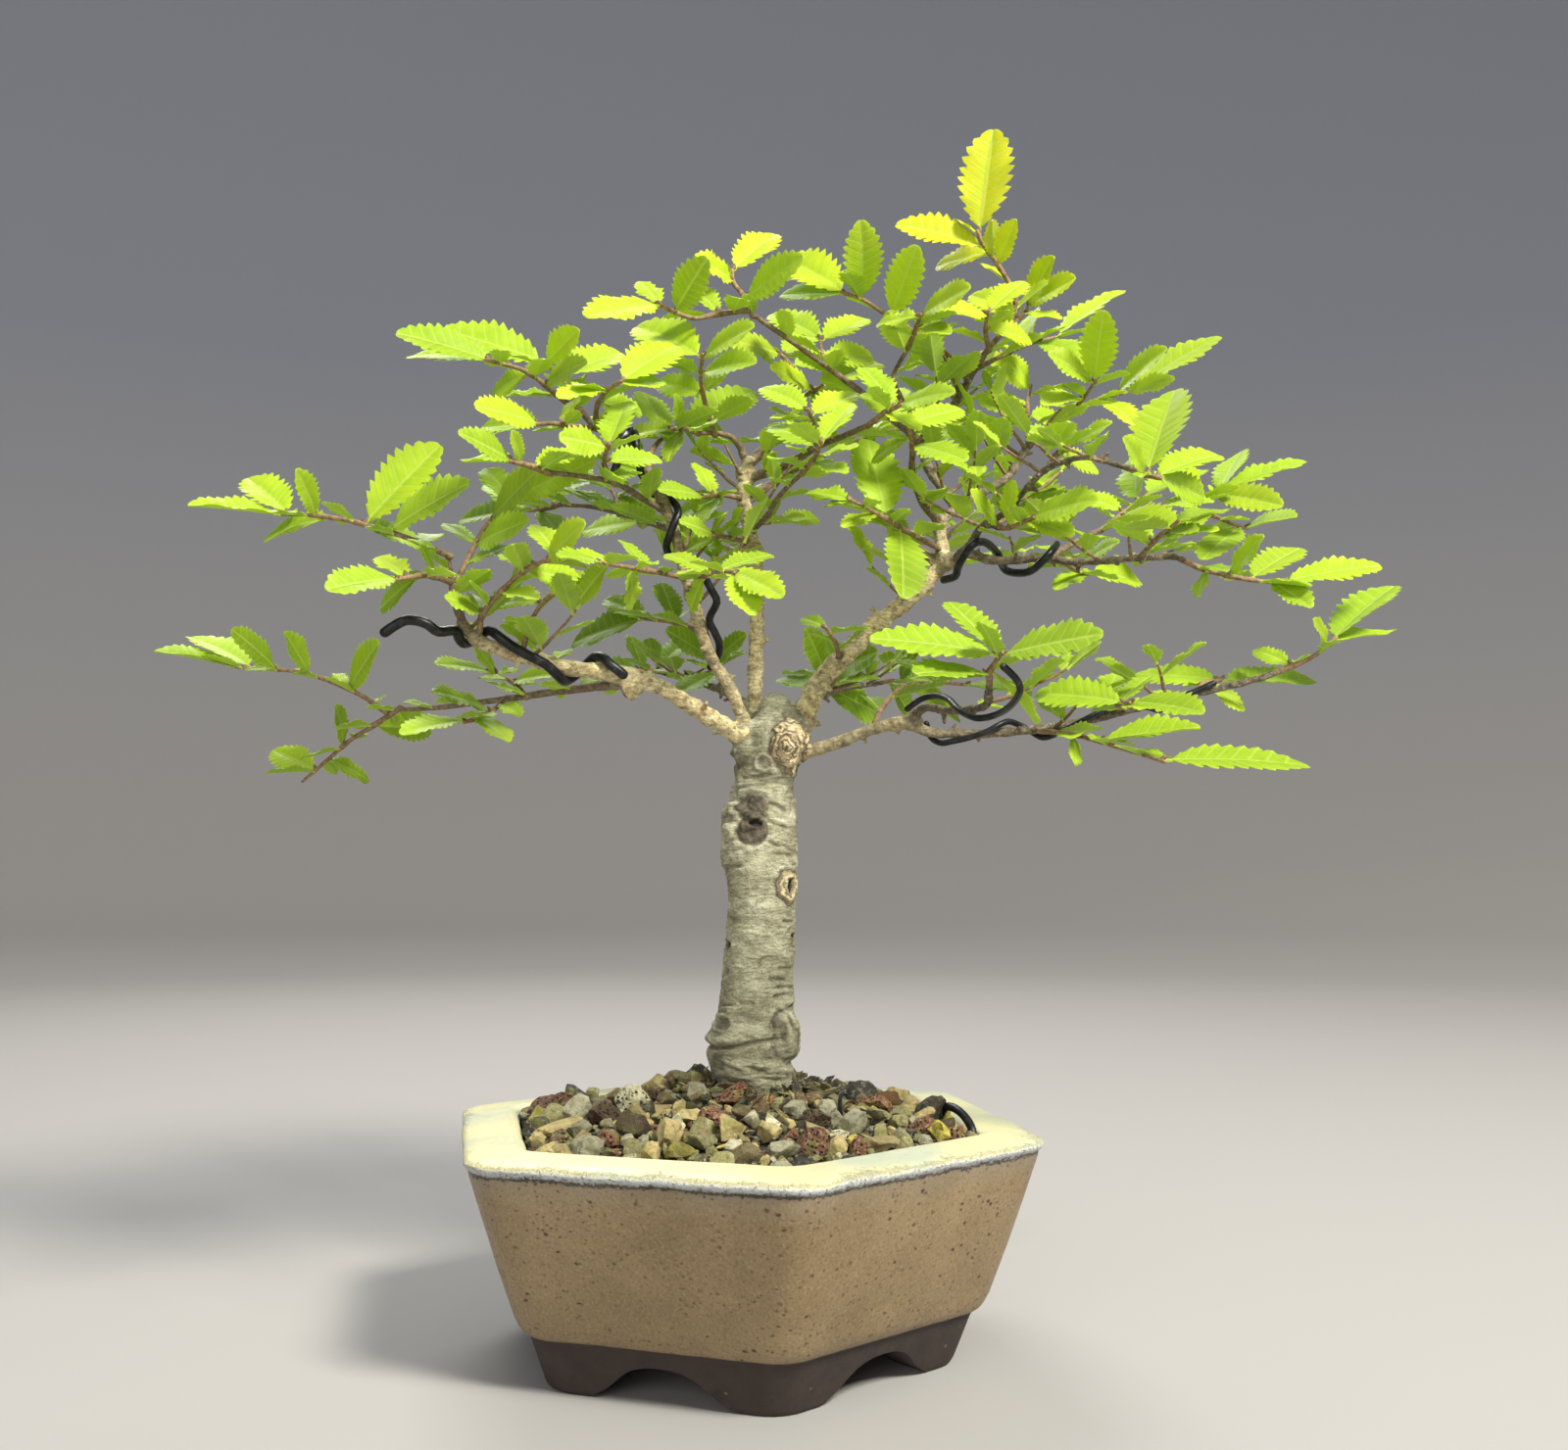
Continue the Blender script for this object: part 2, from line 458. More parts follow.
        ((1, 127.5, 149.2, 30), (0.85, 113.4, 140.8, 55), (0.68, 111.6, 152.8, 40),
         (0.5, 104.4, 155.4, 40), (0.3, 91, 143, 40)),
    ),
    "right_mid_riser": (
        "right_mid", -32, ((79.5, 151), (83, 154.8), (87.3, 158.3)),
        ((1, 96.6, 160.4, 15), (0.6, 91.4, 156.4, 35), (0.4, 77.6, 158, 45)),
    ),
    "right_mid_under": (
        "right_mid", 8, ((64, 150.4), (67.4, 148.2), (70, 147.6)),
        ((1, 79.4, 146.2, 40), (0.8, 62.6, 144.4, 40), (0.45, 75.6, 154.2, 25)),
    ),
    "low_right_tip": (
        "low_right", -20, ((105, 127.6), (112.9, 130.9), (118, 134.9)),
        ((1, 130, 145.2, 30), (0.97, 128.8, 136.2, 15), (0.3, 101.6, 132.4, 50), (0.85, 113.6, 138.8, 35)),
    ),
    "low_right_arched": (
        "low_right", -34, ((87, 123.3), (91.4, 125.8), (95.6, 126.6)),
        ((1, 113.6, 126.2, 20), (0.9, 78, 127.6, 30), (0.5, 99.6, 120.4, 35)),
    ),
    "low_right_fold": (
        "low_right", -36, ((72.5, 119.5), (74.6, 121.6), (77, 122)),
        ((1, 91.6, 119.8, 30), (0.9, 58.4, 123.6, 38), (0.5, 81.6, 127.4, 30)),
    ),
    "low_right_long": (
        "low_right", -44, ((62.5, 117.4), (66.4, 115.6), (73.4, 113.6), (83.6, 110.4)),
        ((1, 112.2, 109.3, 24), (0.5, 91, 117, 22), (0.3, 66, 109.6, 35)),
    ),
    "low_right_thin": (
        "low_right", 10, ((26.1, 116.7), (28.2, 121), (32.1, 125), (38, 126), (45.3, 125.6)),
        ((1, 57.4, 123.4, 20), (0.75, 31, 130.6, 25), (0.5, 43.4, 118.6, 30)),
    ),
    "near_spray": (
        "low_right_near", -60, ((49.3, 124.5), (49.6, 128.5), (52, 132)),
        ((1, 25.6, 134.6, 32), (0.98, 41.2, 142, 35), (0.97, 72.2, 135.6, 40), (0.5, 58.4, 118, 45),
         (0.4, 34.6, 127.6, 16)),
    ),
    "back_left_tip": (
        "back_left", 57, ((-13.7, 127.7), (-17, 128.4), (-20.5, 128.6)),
        ((1, -31, 126.6, 35), (0.8, -21.6, 135.4, 45), (0.4, -9.6, 134.6, 40)),
    ),
    "back_left_side": (
        "back_left", 50, ((-3, 124.2), (-3.6, 128), (-6, 131)),
        ((1, -14.6, 136.4, 40), (0.8, 1.6, 135.6, 40), (0.5, -12.2, 123.6, 30)),
    ),
    "back_right_tip": (
        "back_right", 59, ((27, 125.8), (30, 126.4), (33, 126.2)),
        ((1, 43.6, 128.6, 35), (0.8, 35.6, 133.6, 45), (0.4, 33.6, 119.4, 45)),
    ),
    "back_right_side": (
        "back_right", 50, ((15, 123), (16.4, 125.6), (17, 128)),
        ((1, 13, 137, 55), (0.8, 27.6, 132, 45), (0.5, 27, 120, 45), (0.4, 7.6, 126.6, 30)),
    ),
    "right_back_tip": (
        "right_back", 56, ((48, 161), (51, 162.6), (54.4, 163)),
        ((1, 66.6, 162.6, 35), (0.8, 51.6, 171.6, 45), (0.5, 59, 155.6, 40), (0.3, 43.6, 166.6, 40)),
    ),
    "right_twig": (
        "right", -26, ((39.3, 152.4), (31.9, 157.1), (26.7, 160.3), (21.8, 162.8)),
        ((1, 13.4, 164, 30), (0.7, 20.4, 157, 35), (0.6, 25.4, 175, 62), (0.45, 32.4, 142.6, 62)),
    ),
    "right_inner_tip": (
        "right_inner", -20, ((34.6, 172.5), (34.4, 175.4), (33.2, 178.6)),
        ((1, 25, 184.4, 40), (0.9, 44.6, 181, 45), (0.5, 26.4, 170.4, 35), (0.2, 45.4, 170.4, 35)),
    ),
    "right_stub": (
        "right", -14, ((20, 130.5), (19, 134), (17.1, 137.1)),
        ((1, 12.4, 138.8, 40),),
    ),
}

# Training wires: their radius, the limbs that they are wound on, and their points as x, z and
# depth beside the limb, less than zero on its front
WIRES = {
    "wire_left": (
        0.95, ("left",),
        ((-70, 136, -6), (-66, 138.4, -6), (-61.6, 137.6, -5), (-57.6, 134.6, -3), (-55.4, 133, 1),
         (-52.4, 134.6, 4), (-49.4, 136, 0), (-44, 133.6, -4), (-38, 129.4, -4), (-34.4, 126.4, 0),
         (-31.4, 128.4, 4), (-28.4, 131.6, 1), (-25, 130.6, -4), (-22.4, 127.6, -5)),
    ),
    "wire_upper_left_low": (
        0.75, ("upper_left",),
        ((-6.6, 146.6, -5), (-4.4, 142, -4), (-3.6, 136.6, -1), (-3.8, 132, 2), (-6.6, 128.6, 4)),
    ),
    "wire_upper_left_high": (
        0.75, ("upper_left",),
        ((-25.4, 167.6, -6), (-23.6, 172, -6), (-22.2, 177, -4), (-20.6, 178, 0), (-20.4, 173.6, -4),
         (-19.6, 168, -5), (-19.4, 165.2, -1), (-17.2, 163.4, 3.4), (-13, 163, 2.4), (-11.8, 160, -1.5),
         (-13.6, 157, -4), (-15.8, 153.6, -2), (-15.6, 151.4, 1)),
    ),
    "wire_right_fork": (
        0.8, ("right", "right_mid", "right_arch"),
        ((42.6, 145.6, -2), (43.4, 149, -5), (46.4, 153.6, -4), (49, 154, 1), (51.4, 151.6, 4),
         (53, 148.4, 1), (57.6, 148.2, -3), (61.4, 151.6, -4), (63, 153.6, 1)),
    ),
    "wire_low_right": (
        0.6, ("low_right",),
        ((37.6, 119, 3), (37.6, 115.2, 3), (40, 113.6, 0), (44, 113.6, -3), (49, 116.8, -3.4),
         (53, 118.8, 0), (56.6, 117, 3), (60, 114.6, 0.6), (65, 116.4, -3), (70, 120.2, -3),
         (74, 122.4, 0), (78.6, 121.4, 3), (83, 120.6, 0.6), (88, 123.2, -3), (93.6, 126.6, -2)),
    ),
    "wire_low_right_near": (
        0.6, ("low_right", "low_right_near"),
        ((33.2, 120.8, -3.5), (36, 122.8, -3), (39, 123.4, -2), (41.4, 122.6, -3.5), (43.4, 120.6, -6),
         (46.7, 119, -4), (50.5, 119.6, -3), (53.6, 121.5, -5), (55.4, 124.4, -6), (54.6, 126.8, -8),
         (52.2, 129.2, -10)),
    ),
}
WIRE_STEPS = 2
WIRE_ROOM = 0.35
WIRE_SLACK = 3.0
WIRE_ROUNDS = 4

# Twigs and leaves
TWIG_ROOT_RADIUS = 0.62
TWIG_TIP_RADIUS = 0.45
SPUR_LENGTHS = (1.0, 1.8, 3.0, 4.6)
ROOT_SLIDES = (0, 2.5, -2.5, 5, -5)
DEPTH_MOVES = (0, -4, 4, -8, 8, -12, 12, -17, 17, -23, 23)
LEAF_LENGTH = 19.0
LEAF_SWING = 1.35
LEAF_WIDTH_SHARES = (0.44, 0.54)
LEAF_WIDEST = 10.8
LEAF_HALF_THICKNESS = 0.36
LEAF_DROOP = 0.09
LEAF_FOLD = 0.22
LEAF_TEETH = 3
LEAF_RIB_PEAK = 0.45
LEAF_ROOT_INSIDE = 1.0
NOTCH_DEPTH = 0.2
LEAF_SWINGS = (1.0, -1.0, 0.5, -0.5, 0.0, 1.4, -1.4)
LEAF_ROLLS = (0, 18, -18, 36, -36, 60, -60)
CLEARANCE = 0.35
SPRAY_CLEARANCE_START = 0.3

# A direction that no limb has, from which the rings of a tube are turned
FIRST_ACROSS = (0.31, 0.87, 0.38)


# Points along limbs

def seen(x, z, depth):
    """The point at this depth behind the trunk's plane that shows at x, z on that plane."""
    on_plane = Vector((x, 0.0, z))
    return EYE + (on_plane - EYE) * ((depth - EYE.y) / -EYE.y)


def line_of(rows):
    """The points in space and the radii of rows that hold x, z, depth and radius."""
    return [(seen(x, z, depth), radius) for x, z, depth, radius in rows]


def blend_rows(one, two, share):
    """The row at this share of the straight line in space between two rows."""
    weight_one = (1 - share) * (one[2] - EYE.y)
    weight_two = share * (two[2] - EYE.y)
    whole = weight_one + weight_two
    x = (one[0] * weight_one + two[0] * weight_two) / whole
    z = (one[1] * weight_one + two[1] * weight_two) / whole
    depth = one[2] + (two[2] - one[2]) * share
    return x, z, depth, one[3] + (two[3] - one[3]) * share


def foot_on(rows, x, z):
    """The row of a limb that lies nearest to x, z on the trunk's plane."""
    best = None
    for one, two in zip(rows, rows[1:]):
        step_x = two[0] - one[0]
        step_z = two[1] - one[1]
        share = ((x - one[0]) * step_x + (z - one[1]) * step_z) / (step_x ** 2 + step_z ** 2)
        row = blend_rows(one, two, min(1.0, max(0.0, share)))
        gap = math.hypot(row[0] - x, row[1] - z)
        if best is None or gap < best[0]:
            best = (gap, row)
    return best[1]


def twig_rows(limb_rows, corners, slide, end_depth):
    """The rows of a spray's twig, from the axis of its limb to its tip."""
    x, z, depth, _ = foot_on(limb_rows, corners[0][0] + slide, corners[0][1])
    places = [(x, z)] + list(corners[1:])
    runs = [0.0]
    for one, two in zip(places, places[1:]):
        runs.append(runs[-1] + math.hypot(two[0] - one[0], two[1] - one[1]))
    rows = []
    for (x, z), run in zip(places, runs):
        share = run / runs[-1]
        radius = TWIG_ROOT_RADIUS + (TWIG_TIP_RADIUS - TWIG_ROOT_RADIUS) * share
        rows.append((x, z, depth + (end_depth - depth) * share, radius))
    return rows


def leaning(rows, move):
    """The rows of a limb whose tip is moved in depth, and the rest in step with it."""
    last = len(rows) - 1
    return [
        (x, z, depth + move * index / last, radius)
        for index, (x, z, depth, radius) in enumerate(rows)
    ]


def row_at(rows, share):
    """The row at this share of the length of rows on the trunk's plane."""
    lengths = [math.hypot(b[0] - a[0], b[1] - a[1]) for a, b in zip(rows, rows[1:])]
    left = share * sum(lengths)
    for one, two, length in zip(rows, rows[1:], lengths):
        if left <= length:
            return blend_rows(one, two, left / length)
        left -= length
    return rows[-1]


def cut_line(line, start, end):
    """The part of a line of points and radii between two distances along it."""
    kept = []
    run = 0.0
    for (one, radius_one), (two, radius_two) in zip(line, line[1:]):
        length = (two - one).length
        for distance in (start, end):
            if run < distance < run + length:
                share = (distance - run) / length
                radius = radius_one + (radius_two - radius_one) * share
                kept.append((distance, one.lerp(two, share), radius))
        if start < run < end:
            kept.append((run, one, radius_one))
        run += length
    if end >= run:
        kept.append((run, line[-1][0], line[-1][1]))
    if start <= 0.0:
        kept.append((0.0, line[0][0], line[0][1]))
    kept.sort(key=lambda item: item[0])
    return [(point, radius) for _, point, radius in kept]


def line_length(line):
    return sum((b[0] - a[0]).length for a, b in zip(line, line[1:]))


def smooth_points(points, steps):
    """Points of a smooth curve through the given ones, with this many steps between two."""
    ends = [points[0] * 2 - points[1]] + list(points) + [points[-1] * 2 - points[-2]]
    curve = []
    for a, b, c, d in zip(ends, ends[1:], ends[2:], ends[3:]):
        for step in range(steps):
            t = step / steps
            bend = (a * 2 - b * 5 + c * 4 - d) * t ** 2 + (b * 3 - a - c * 3 + d) * t ** 3
            curve.append((b * 2 + (c - a) * t + bend) * 0.5)
    curve.append(points[-1])
    return curve


def lay_on(point, line, radius, slack=0.0):
    """The point, moved until it is this far from a limb's surface, unless it is further by the slack."""
    nearest = None
    for (one, radius_one), (two, radius_two) in zip(line, line[1:]):
        step = two - one
        share = min(1.0, max(0.0, (point - one).dot(step) / step.length_squared))
        foot = one + step * share
        room = (point - foot).length - (radius_one + (radius_two - radius_one) * share)
        if nearest is None or room < nearest[0]:
            nearest = (room, foot)
    room, foot = nearest
    if room >= radius + slack:
        return point
    return point + (point - foot).normalized() * (radius - room)


def wire_line(wire):
    """The smooth line of a training wire, lying on the limbs that it is wound on."""
    wire_radius, limbs, places = wire
    points = []
    for x, z, beside in places:
        nearest = min(limbs, key=lambda limb: limb_gap(limb, x, z))
        points.append(seen(x, z, foot_on(LIMBS[nearest], x, z)[2] + beside))
    points = smooth_points(points, WIRE_STEPS)
    solids = [line_of(LIMBS[limb]) for limb in limbs]
    for x, z, depth, *radii in KNOTS:
        knot = (x, z, depth, max(radii))
        solids.append(line_of((knot, (x, z + 0.1, depth, max(radii)))))
    reach = wire_radius + WIRE_ROOM
    points = [lay_on(point, solids[0], reach, WIRE_SLACK) for point in points]
    for _ in range(WIRE_ROUNDS):
        for solid in solids:
            points = [lay_on(point, solid, reach) for point in points]
    return [(point, wire_radius) for point in points]


def limb_gap(limb, x, z):
    row = foot_on(LIMBS[limb], x, z)
    return math.hypot(row[0] - x, row[1] - z)


# Room between pieces

class Shape:
    """A closed shape that is tested for room, with its box and the name of its owner."""

    def __init__(self, vertices, faces, owner):
        self.tree = BVHTree.FromPolygons(vertices, faces)
        self.low = [min(vertex[axis] for vertex in vertices) for axis in range(3)]
        self.high = [max(vertex[axis] for vertex in vertices) for axis in range(3)]
        self.owner = owner

    def meets(self, other):
        for axis in range(3):
            if self.high[axis] < other.low[axis] or self.low[axis] > other.high[axis]:
                return False
        return bool(self.tree.overlap(other.tree))


def tube_shape(line, owner, extra=CLEARANCE, sides=6):
    """A closed tube along a line of points and radii, thicker by the extra radius."""
    vertices = []
    across = Vector(FIRST_ACROSS)
    for index, (point, radius) in enumerate(line):
        before = line[max(0, index - 1)][0]
        after = line[min(len(line) - 1, index + 1)][0]
        along = (after - before).normalized()
        across = (across - along * across.dot(along)).normalized()
        third = along.cross(across)
        for side in range(sides):
            angle = 2 * math.pi * side / sides
            spoke = across * math.cos(angle) + third * math.sin(angle)
            vertices.append(point + spoke * (radius + extra))
    return Shape(vertices, tube_faces(len(line), sides), owner)


# Leaves

def leaf_envelope(share):
    """Half the width of a leaf at this share of its length, as a share of the greatest."""
    return 2.6 * share ** 0.8 * (1 - share) ** 0.6


def leaf_side(teeth):
    """The serrated side of a leaf from base to tip, as shares of its length and half width."""
    side = []
    for tooth in range(teeth):
        point = 0.1 + 0.86 * (tooth + 0.78) / teeth
        notch = 0.1 + 0.86 * (tooth + 1.0) / teeth
        side.append((point, leaf_envelope(point)))
        if tooth < teeth - 1:
            side.append((notch, leaf_envelope(notch) * (1 - NOTCH_DEPTH)))
    return side


class Leaf:
    """A leaf blade: where it starts, its directions and its size."""

    def __init__(self, base, tip, roll, width_share):
        self.base = base
        reach = tip - base
        self.length = reach.length
        self.width = min(LEAF_WIDEST, self.length * width_share)
        self.along = reach.normalized()
        front = EYE - base
        front = (front - self.along * front.dot(self.along)).normalized()
        edge_up = front.cross(self.along)
        if edge_up.z < 0:
            edge_up = -edge_up
        angle = math.radians(roll)
        self.up = edge_up * math.cos(angle) + front * math.sin(angle)
        self.across = self.up.cross(self.along)

    def point(self, share, half_width, lift=0.0):
        """A point of the blade at a share of its length and a distance from the midrib."""
        rise = LEAF_FOLD * abs(half_width) + LEAF_DROOP * self.length * (share - share ** 2) + lift
        return (
            self.base + self.along * (share * self.length) + self.across * half_width
            + self.up * rise
        )


def blade(leaf, start=0.0, extra=0.0):
    """The vertices and faces of a closed serrated blade, thick at its midrib and thin at its edge."""
    side = [row for row in leaf_side(LEAF_TEETH) if row[0] > start]
    half = len(side)
    vertices = [leaf.point(start, 0.0), leaf.point(1.0, 0.0)]
    for sign in (1, -1):
        for share, width in side:
            vertices.append(leaf.point(share, sign * (width * leaf.width / 2 + extra)))
    thickness = LEAF_HALF_THICKNESS + extra
    for lift in (thickness, -thickness):
        vertices.append(leaf.point(LEAF_RIB_PEAK, 0.0, lift))
    faces = []
    for chain in (2, 2 + half):
        edge = [0] + list(range(chain, chain + half)) + [1]
        for rib in (2 + 2 * half, 3 + 2 * half):
            for one, two in zip(edge, edge[1:]):
                faces.append((rib, one, two))
    return vertices, faces


def leaf_choices(rows, place, draw):
    """The poses that a leaf may take, the wanted one first."""
    share, x, z, roll = place
    last_foot = 1 - LEAF_ROOT_INSIDE / line_length(line_of(rows))
    foot_x, foot_z, depth, _ = row_at(rows, min(share, last_foot))
    base = seen(foot_x, foot_z, depth)
    shown = (seen(x, z, depth) - base).length
    full = max(shown, min(LEAF_LENGTH, LEAF_SWING * shown))
    swing = math.sqrt(full ** 2 - shown ** 2) * draw.choice((-1, 1))
    width_share = draw.uniform(*LEAF_WIDTH_SHARES)
    for turn in LEAF_ROLLS:
        for part in LEAF_SWINGS:
            tip = seen(x, z, depth + swing * part)
            yield Leaf(base, tip, roll + turn, width_share)


class Sprig:
    """A leafy node: its spur on the wood, its twigs and its leaves."""

    def __init__(self):
        self.spur = None
        self.twigs = []
        self.leaves = []


def free_of(shape, name, placed):
    return not any(shape.meets(other) for other in placed if other.owner != name)


def take_root(name, limb_rows, choices, placed, slender):
    """The spur, the twig beyond it and the rows of the first choice that has room."""
    for rows in choices:
        line = line_of(rows)
        limb_radius = foot_on(limb_rows, rows[0][0], rows[0][1])[3]
        for extra in SPUR_LENGTHS:
            length = limb_radius + extra
            spur = cut_line(line, 0.0, length)
            twig = cut_line(line, length + TOUCH_GAP, line_length(line))
            if free_of(tube_shape(spur, name), name, slender):
                if free_of(tube_shape(twig, name), name, placed):
                    return spur, twig, rows
    raise ValueError("no room for " + name)


def first_free(choices, owner, placed):
    """The first choice of rows with room for its tube, and that tube."""
    for rows in choices:
        shape = tube_shape(line_of(rows), owner)
        if free_of(shape, owner, placed):
            return rows, shape
    raise ValueError("no room for a twig of " + owner)


def grow_twigs(placed, slender):
    """Finds room for every twig: the sprigs by name, and each spray's rows by name.

    The slender shapes, the wires and twigs, are those that a spur on the wood must clear too.
    """
    sprigs = {}
    grown = dict(LIMBS)
    for name, limb in STEMS.items():
        choices = [leaning(LIMBS[name], move) for move in DEPTH_MOVES]
        sprig = Sprig()
        sprig.spur, stem, grown[name] = take_root(name, LIMBS[limb], choices, placed, slender)
        sprig.twigs.append(stem)
        placed += [tube_shape(sprig.spur, name), tube_shape(stem, name)]
        slender.append(placed[-1])
        sprigs[name] = sprig
    for name, (limb, end_depth, corners, _) in SPRAYS.items():
        choices = [
            twig_rows(grown[limb], corners, slide, end_depth + move)
            for slide in ROOT_SLIDES for move in DEPTH_MOVES
        ]
        if limb in STEMS:
            rows, shape = first_free(choices, limb, placed)
            sprigs[limb].twigs.append(line_of(rows))
            placed.append(shape)
            slender.append(shape)
        else:
            sprig = Sprig()
            sprig.spur, twig, rows = take_root(name, LIMBS[limb], choices, placed, slender)
            sprig.twigs.append(twig)
            placed += [tube_shape(sprig.spur, name), tube_shape(twig, name)]
            slender.append(placed[-1])
            sprigs[name] = sprig
        grown[name] = rows
    return sprigs, grown


def grow_leaves(sprigs, grown, placed):
    """Finds room for the leaves of every spray and adds them to its sprig."""
    outer_parts = {}
    for name, sprig in sprigs.items():
        outer_parts[name] = [tube_shape(twig, name) for twig in sprig.twigs]
    for name, (limb, _, _, places) in SPRAYS.items():
        home = limb if limb in STEMS else name
        draw = random.Random(name)
        for place in places:
            for leaf in leaf_choices(grown[name], place, draw):
                whole = Shape(*blade(leaf, 0.0, CLEARANCE), home)
                if not free_of(whole, home, placed):
                    continue
                outer = Shape(*blade(leaf, SPRAY_CLEARANCE_START, CLEARANCE), home)
                if any(outer.meets(other) for other in outer_parts[home]):
                    continue
                placed.append(whole)
                outer_parts[home].append(outer)
                sprigs[home].leaves.append(leaf)
                break


def settle():
    """Finds room for every wire, twig and leaf."""
    wires = {name: wire_line(wire) for name, wire in WIRES.items()}
    wire_shapes = [tube_shape(line, name) for name, line in wires.items()]
    placed = [tube_shape(line_of(TRUNK), "wood")]
    placed += [tube_shape(line_of(rows), "wood") for rows in MAIN_LIMBS.values()]
    placed += wire_shapes
    sprigs, grown = grow_twigs(placed, wire_shapes)
    grow_leaves(sprigs, grown, placed)
    return wires, sprigs


# Meshes from arrays

def into_scene(name, data):
    """A new object of the scene with this data."""
    thing = bpy.data.objects.new(name, data)
    bpy.context.scene.collection.objects.link(thing)
    return thing


def give_values(mesh, values):
    """Gives each vertex the named values that its paint reads."""
    for name, rows in values.items():
        attribute = mesh.attributes.new(name, "FLOAT", "POINT")
        attribute.data.foreach_set("value", rows.astype(np.float32))


def move_points(mesh, points):
    """Moves the vertices of a mesh to these points in millimetres."""
    mesh.vertices.foreach_set("co", (points * MM).astype(np.float32).ravel())


def paint_over(mesh, material):
    """Gives a mesh this material alone and a smooth shade."""
    mesh.materials.clear()
    mesh.materials.append(material)
    mesh.shade_smooth()


def vertex_rows(rows, key):
    """One row of three numbers for each vertex."""
    flat = np.empty(len(rows) * 3, dtype=np.float32)
    rows.foreach_get(key, flat)
    return flat.reshape(-1, 3).astype(float)


def finished_mesh(thing):
    """The mesh of an object with its modifiers applied."""
    return bpy.data.meshes.new_from_object(thing.evaluated_get(bpy.context.evaluated_depsgraph_get()))


LEAF_VALUES = ("leaf_along", "leaf_side", "leaf_edge", "leaf_vein", "leaf_under", "leaf_tone", "leaf_youth")


class Heap:
    """The vertices, faces, face slots and vertex values gathered for one mesh, in millimetres."""

    def __init__(self, names=()):
        self.vertices = []
        self.faces = []
        self.slots = []
        self.values = {name: [] for name in names}
        self.count = 0

    def add(self, vertices, faces, slot=0, **values):
        vertices = np.asarray(vertices, dtype=float)
        self.vertices.append(vertices)
        self.faces += [tuple(index + self.count for index in face) for face in faces]
        self.slots += [slot] * len(faces)
        for name, rows in self.values.items():
            rows.append(np.broadcast_to(values.get(name, 0.0), len(vertices)))
        self.count += len(vertices)

    def object(self, name, materials, sharp_angle):
        mesh = bpy.data.meshes.new(name)
        mesh.from_pydata(np.concatenate(self.vertices) * MM, [], self.faces)
        for material in materials:
            mesh.materials.append(material)
        mesh.polygons.foreach_set("material_index", self.slots)
        give_values(mesh, {key: np.concatenate(rows) for key, rows in self.values.items()})
        mesh.shade_smooth()
        mesh.set_sharp_from_angle(angle=math.radians(sharp_angle))
        mesh.update()
        return into_scene(name, mesh)


def ring_frames(points):
    """Two directions across a line at each of its points, turned as little as possible."""
    steps = np.gradient(points, axis=0)
    steps /= np.linalg.norm(steps, axis=1)[:, None]
    across = np.array(FIRST_ACROSS)
    ones = []
    twos = []
    for step in steps:
        across = across - step * across.dot(step)
        across = across / np.linalg.norm(across)
        ones.append(across)
        twos.append(np.cross(step, across))
    return np.array(ones), np.array(twos)


def tube(line, sides, round_ends=True):
    """The vertices and faces of a closed tube along a line of points and radii."""
    points = np.array([tuple(point) for point, _ in line])
    radii = np.array([radius for _, radius in line])
    if round_ends:
        points, radii = with_round_ends(points, radii)
    ones, twos = ring_frames(points)
    angles = np.arange(sides) * 2 * math.pi / sides
    spokes = ones[:, None] * np.cos(angles)[None, :, None] + twos[:, None] * np.sin(angles)[None, :, None]
    vertices = (points[:, None] + spokes * radii[:, None, None]).reshape(-1, 3)
    return vertices, tube_faces(len(points), sides)


# The rings of a tube's rounded end: how far out they lie and their radius, as shares of the tube's
DOME = ((0.98, 0.15), (0.8, 0.6), (0.4, 0.92))


def with_round_ends(points, radii):
    """The same line with short rings added that close each end as a dome."""
    first = points[0] - points[1]
    first /= np.linalg.norm(first)
    last = points[-1] - points[-2]
    last /= np.linalg.norm(last)
    head = [points[0] + first * radii[0] * reach for reach, _ in DOME]
    head_radii = [radii[0] * width for _, width in DOME]
    tail = [points[-1] + last * radii[-1] * reach for reach, _ in reversed(DOME)]
    tail_radii = [radii[-1] * width for _, width in reversed(DOME)]
    points = np.concatenate((head, points, tail))
    return points, np.concatenate((head_radii, radii, tail_radii))


def tube_faces(rings, sides):
    faces = []
    for ring in range(rings - 1):
        for side in range(sides):
            one = ring * sides + side
            two = ring * sides + (side + 1) % sides
            faces.append((one, two, two + sides, one + sides))
    faces.append(tuple(reversed(range(sides))))
    faces.append(tuple(range((rings - 1) * sides, rings * sides)))
    return faces


def smooth_line(line, steps):
    """A line of points and radii with this many smooth steps between two points."""
    rows = [Vector((*point, radius)) for point, radius in line]
    return [(row.xyz, row.w) for row in smooth_points(rows, steps)]


def lattice(cells, seed):
    """A repeatable number from 0 to 1 for each whole-numbered cell."""
    mixed = cells[..., 0] * 73856093 ^ cells[..., 1] * 19349663 ^ cells[..., 2] * 83492791
    mixed = (mixed ^ (seed * 40503 + 977)) * 1274126177
    mixed = (mixed ^ (mixed >> 15)) * 2246822519
    mixed = mixed ^ (mixed >> 13)
    return (mixed & 0xFFFFF) / 0xFFFFF


def noise(points, size, seed=0):
    """Smooth noise from -1 to 1 with lumps of this size, at each point."""
    scaled = points / size
    cells = np.floor(scaled).astype(np.int64)
    part = scaled - cells
    part = part * part * (3 - 2 * part)
    total = np.zeros(len(points))
    for corner in range(8):
        step = np.array((corner & 1, corner >> 1 & 1, corner >> 2 & 1))
        weight = np.where(step, part, 1 - part).prod(axis=1)
        total += weight * lattice(cells + step, seed)
    return total * 2 - 1


def smoothstep(low, high, values):
    share = np.clip((values - low) / (high - low), 0.0, 1.0)
    return share * share * (3 - 2 * share)


# Materials

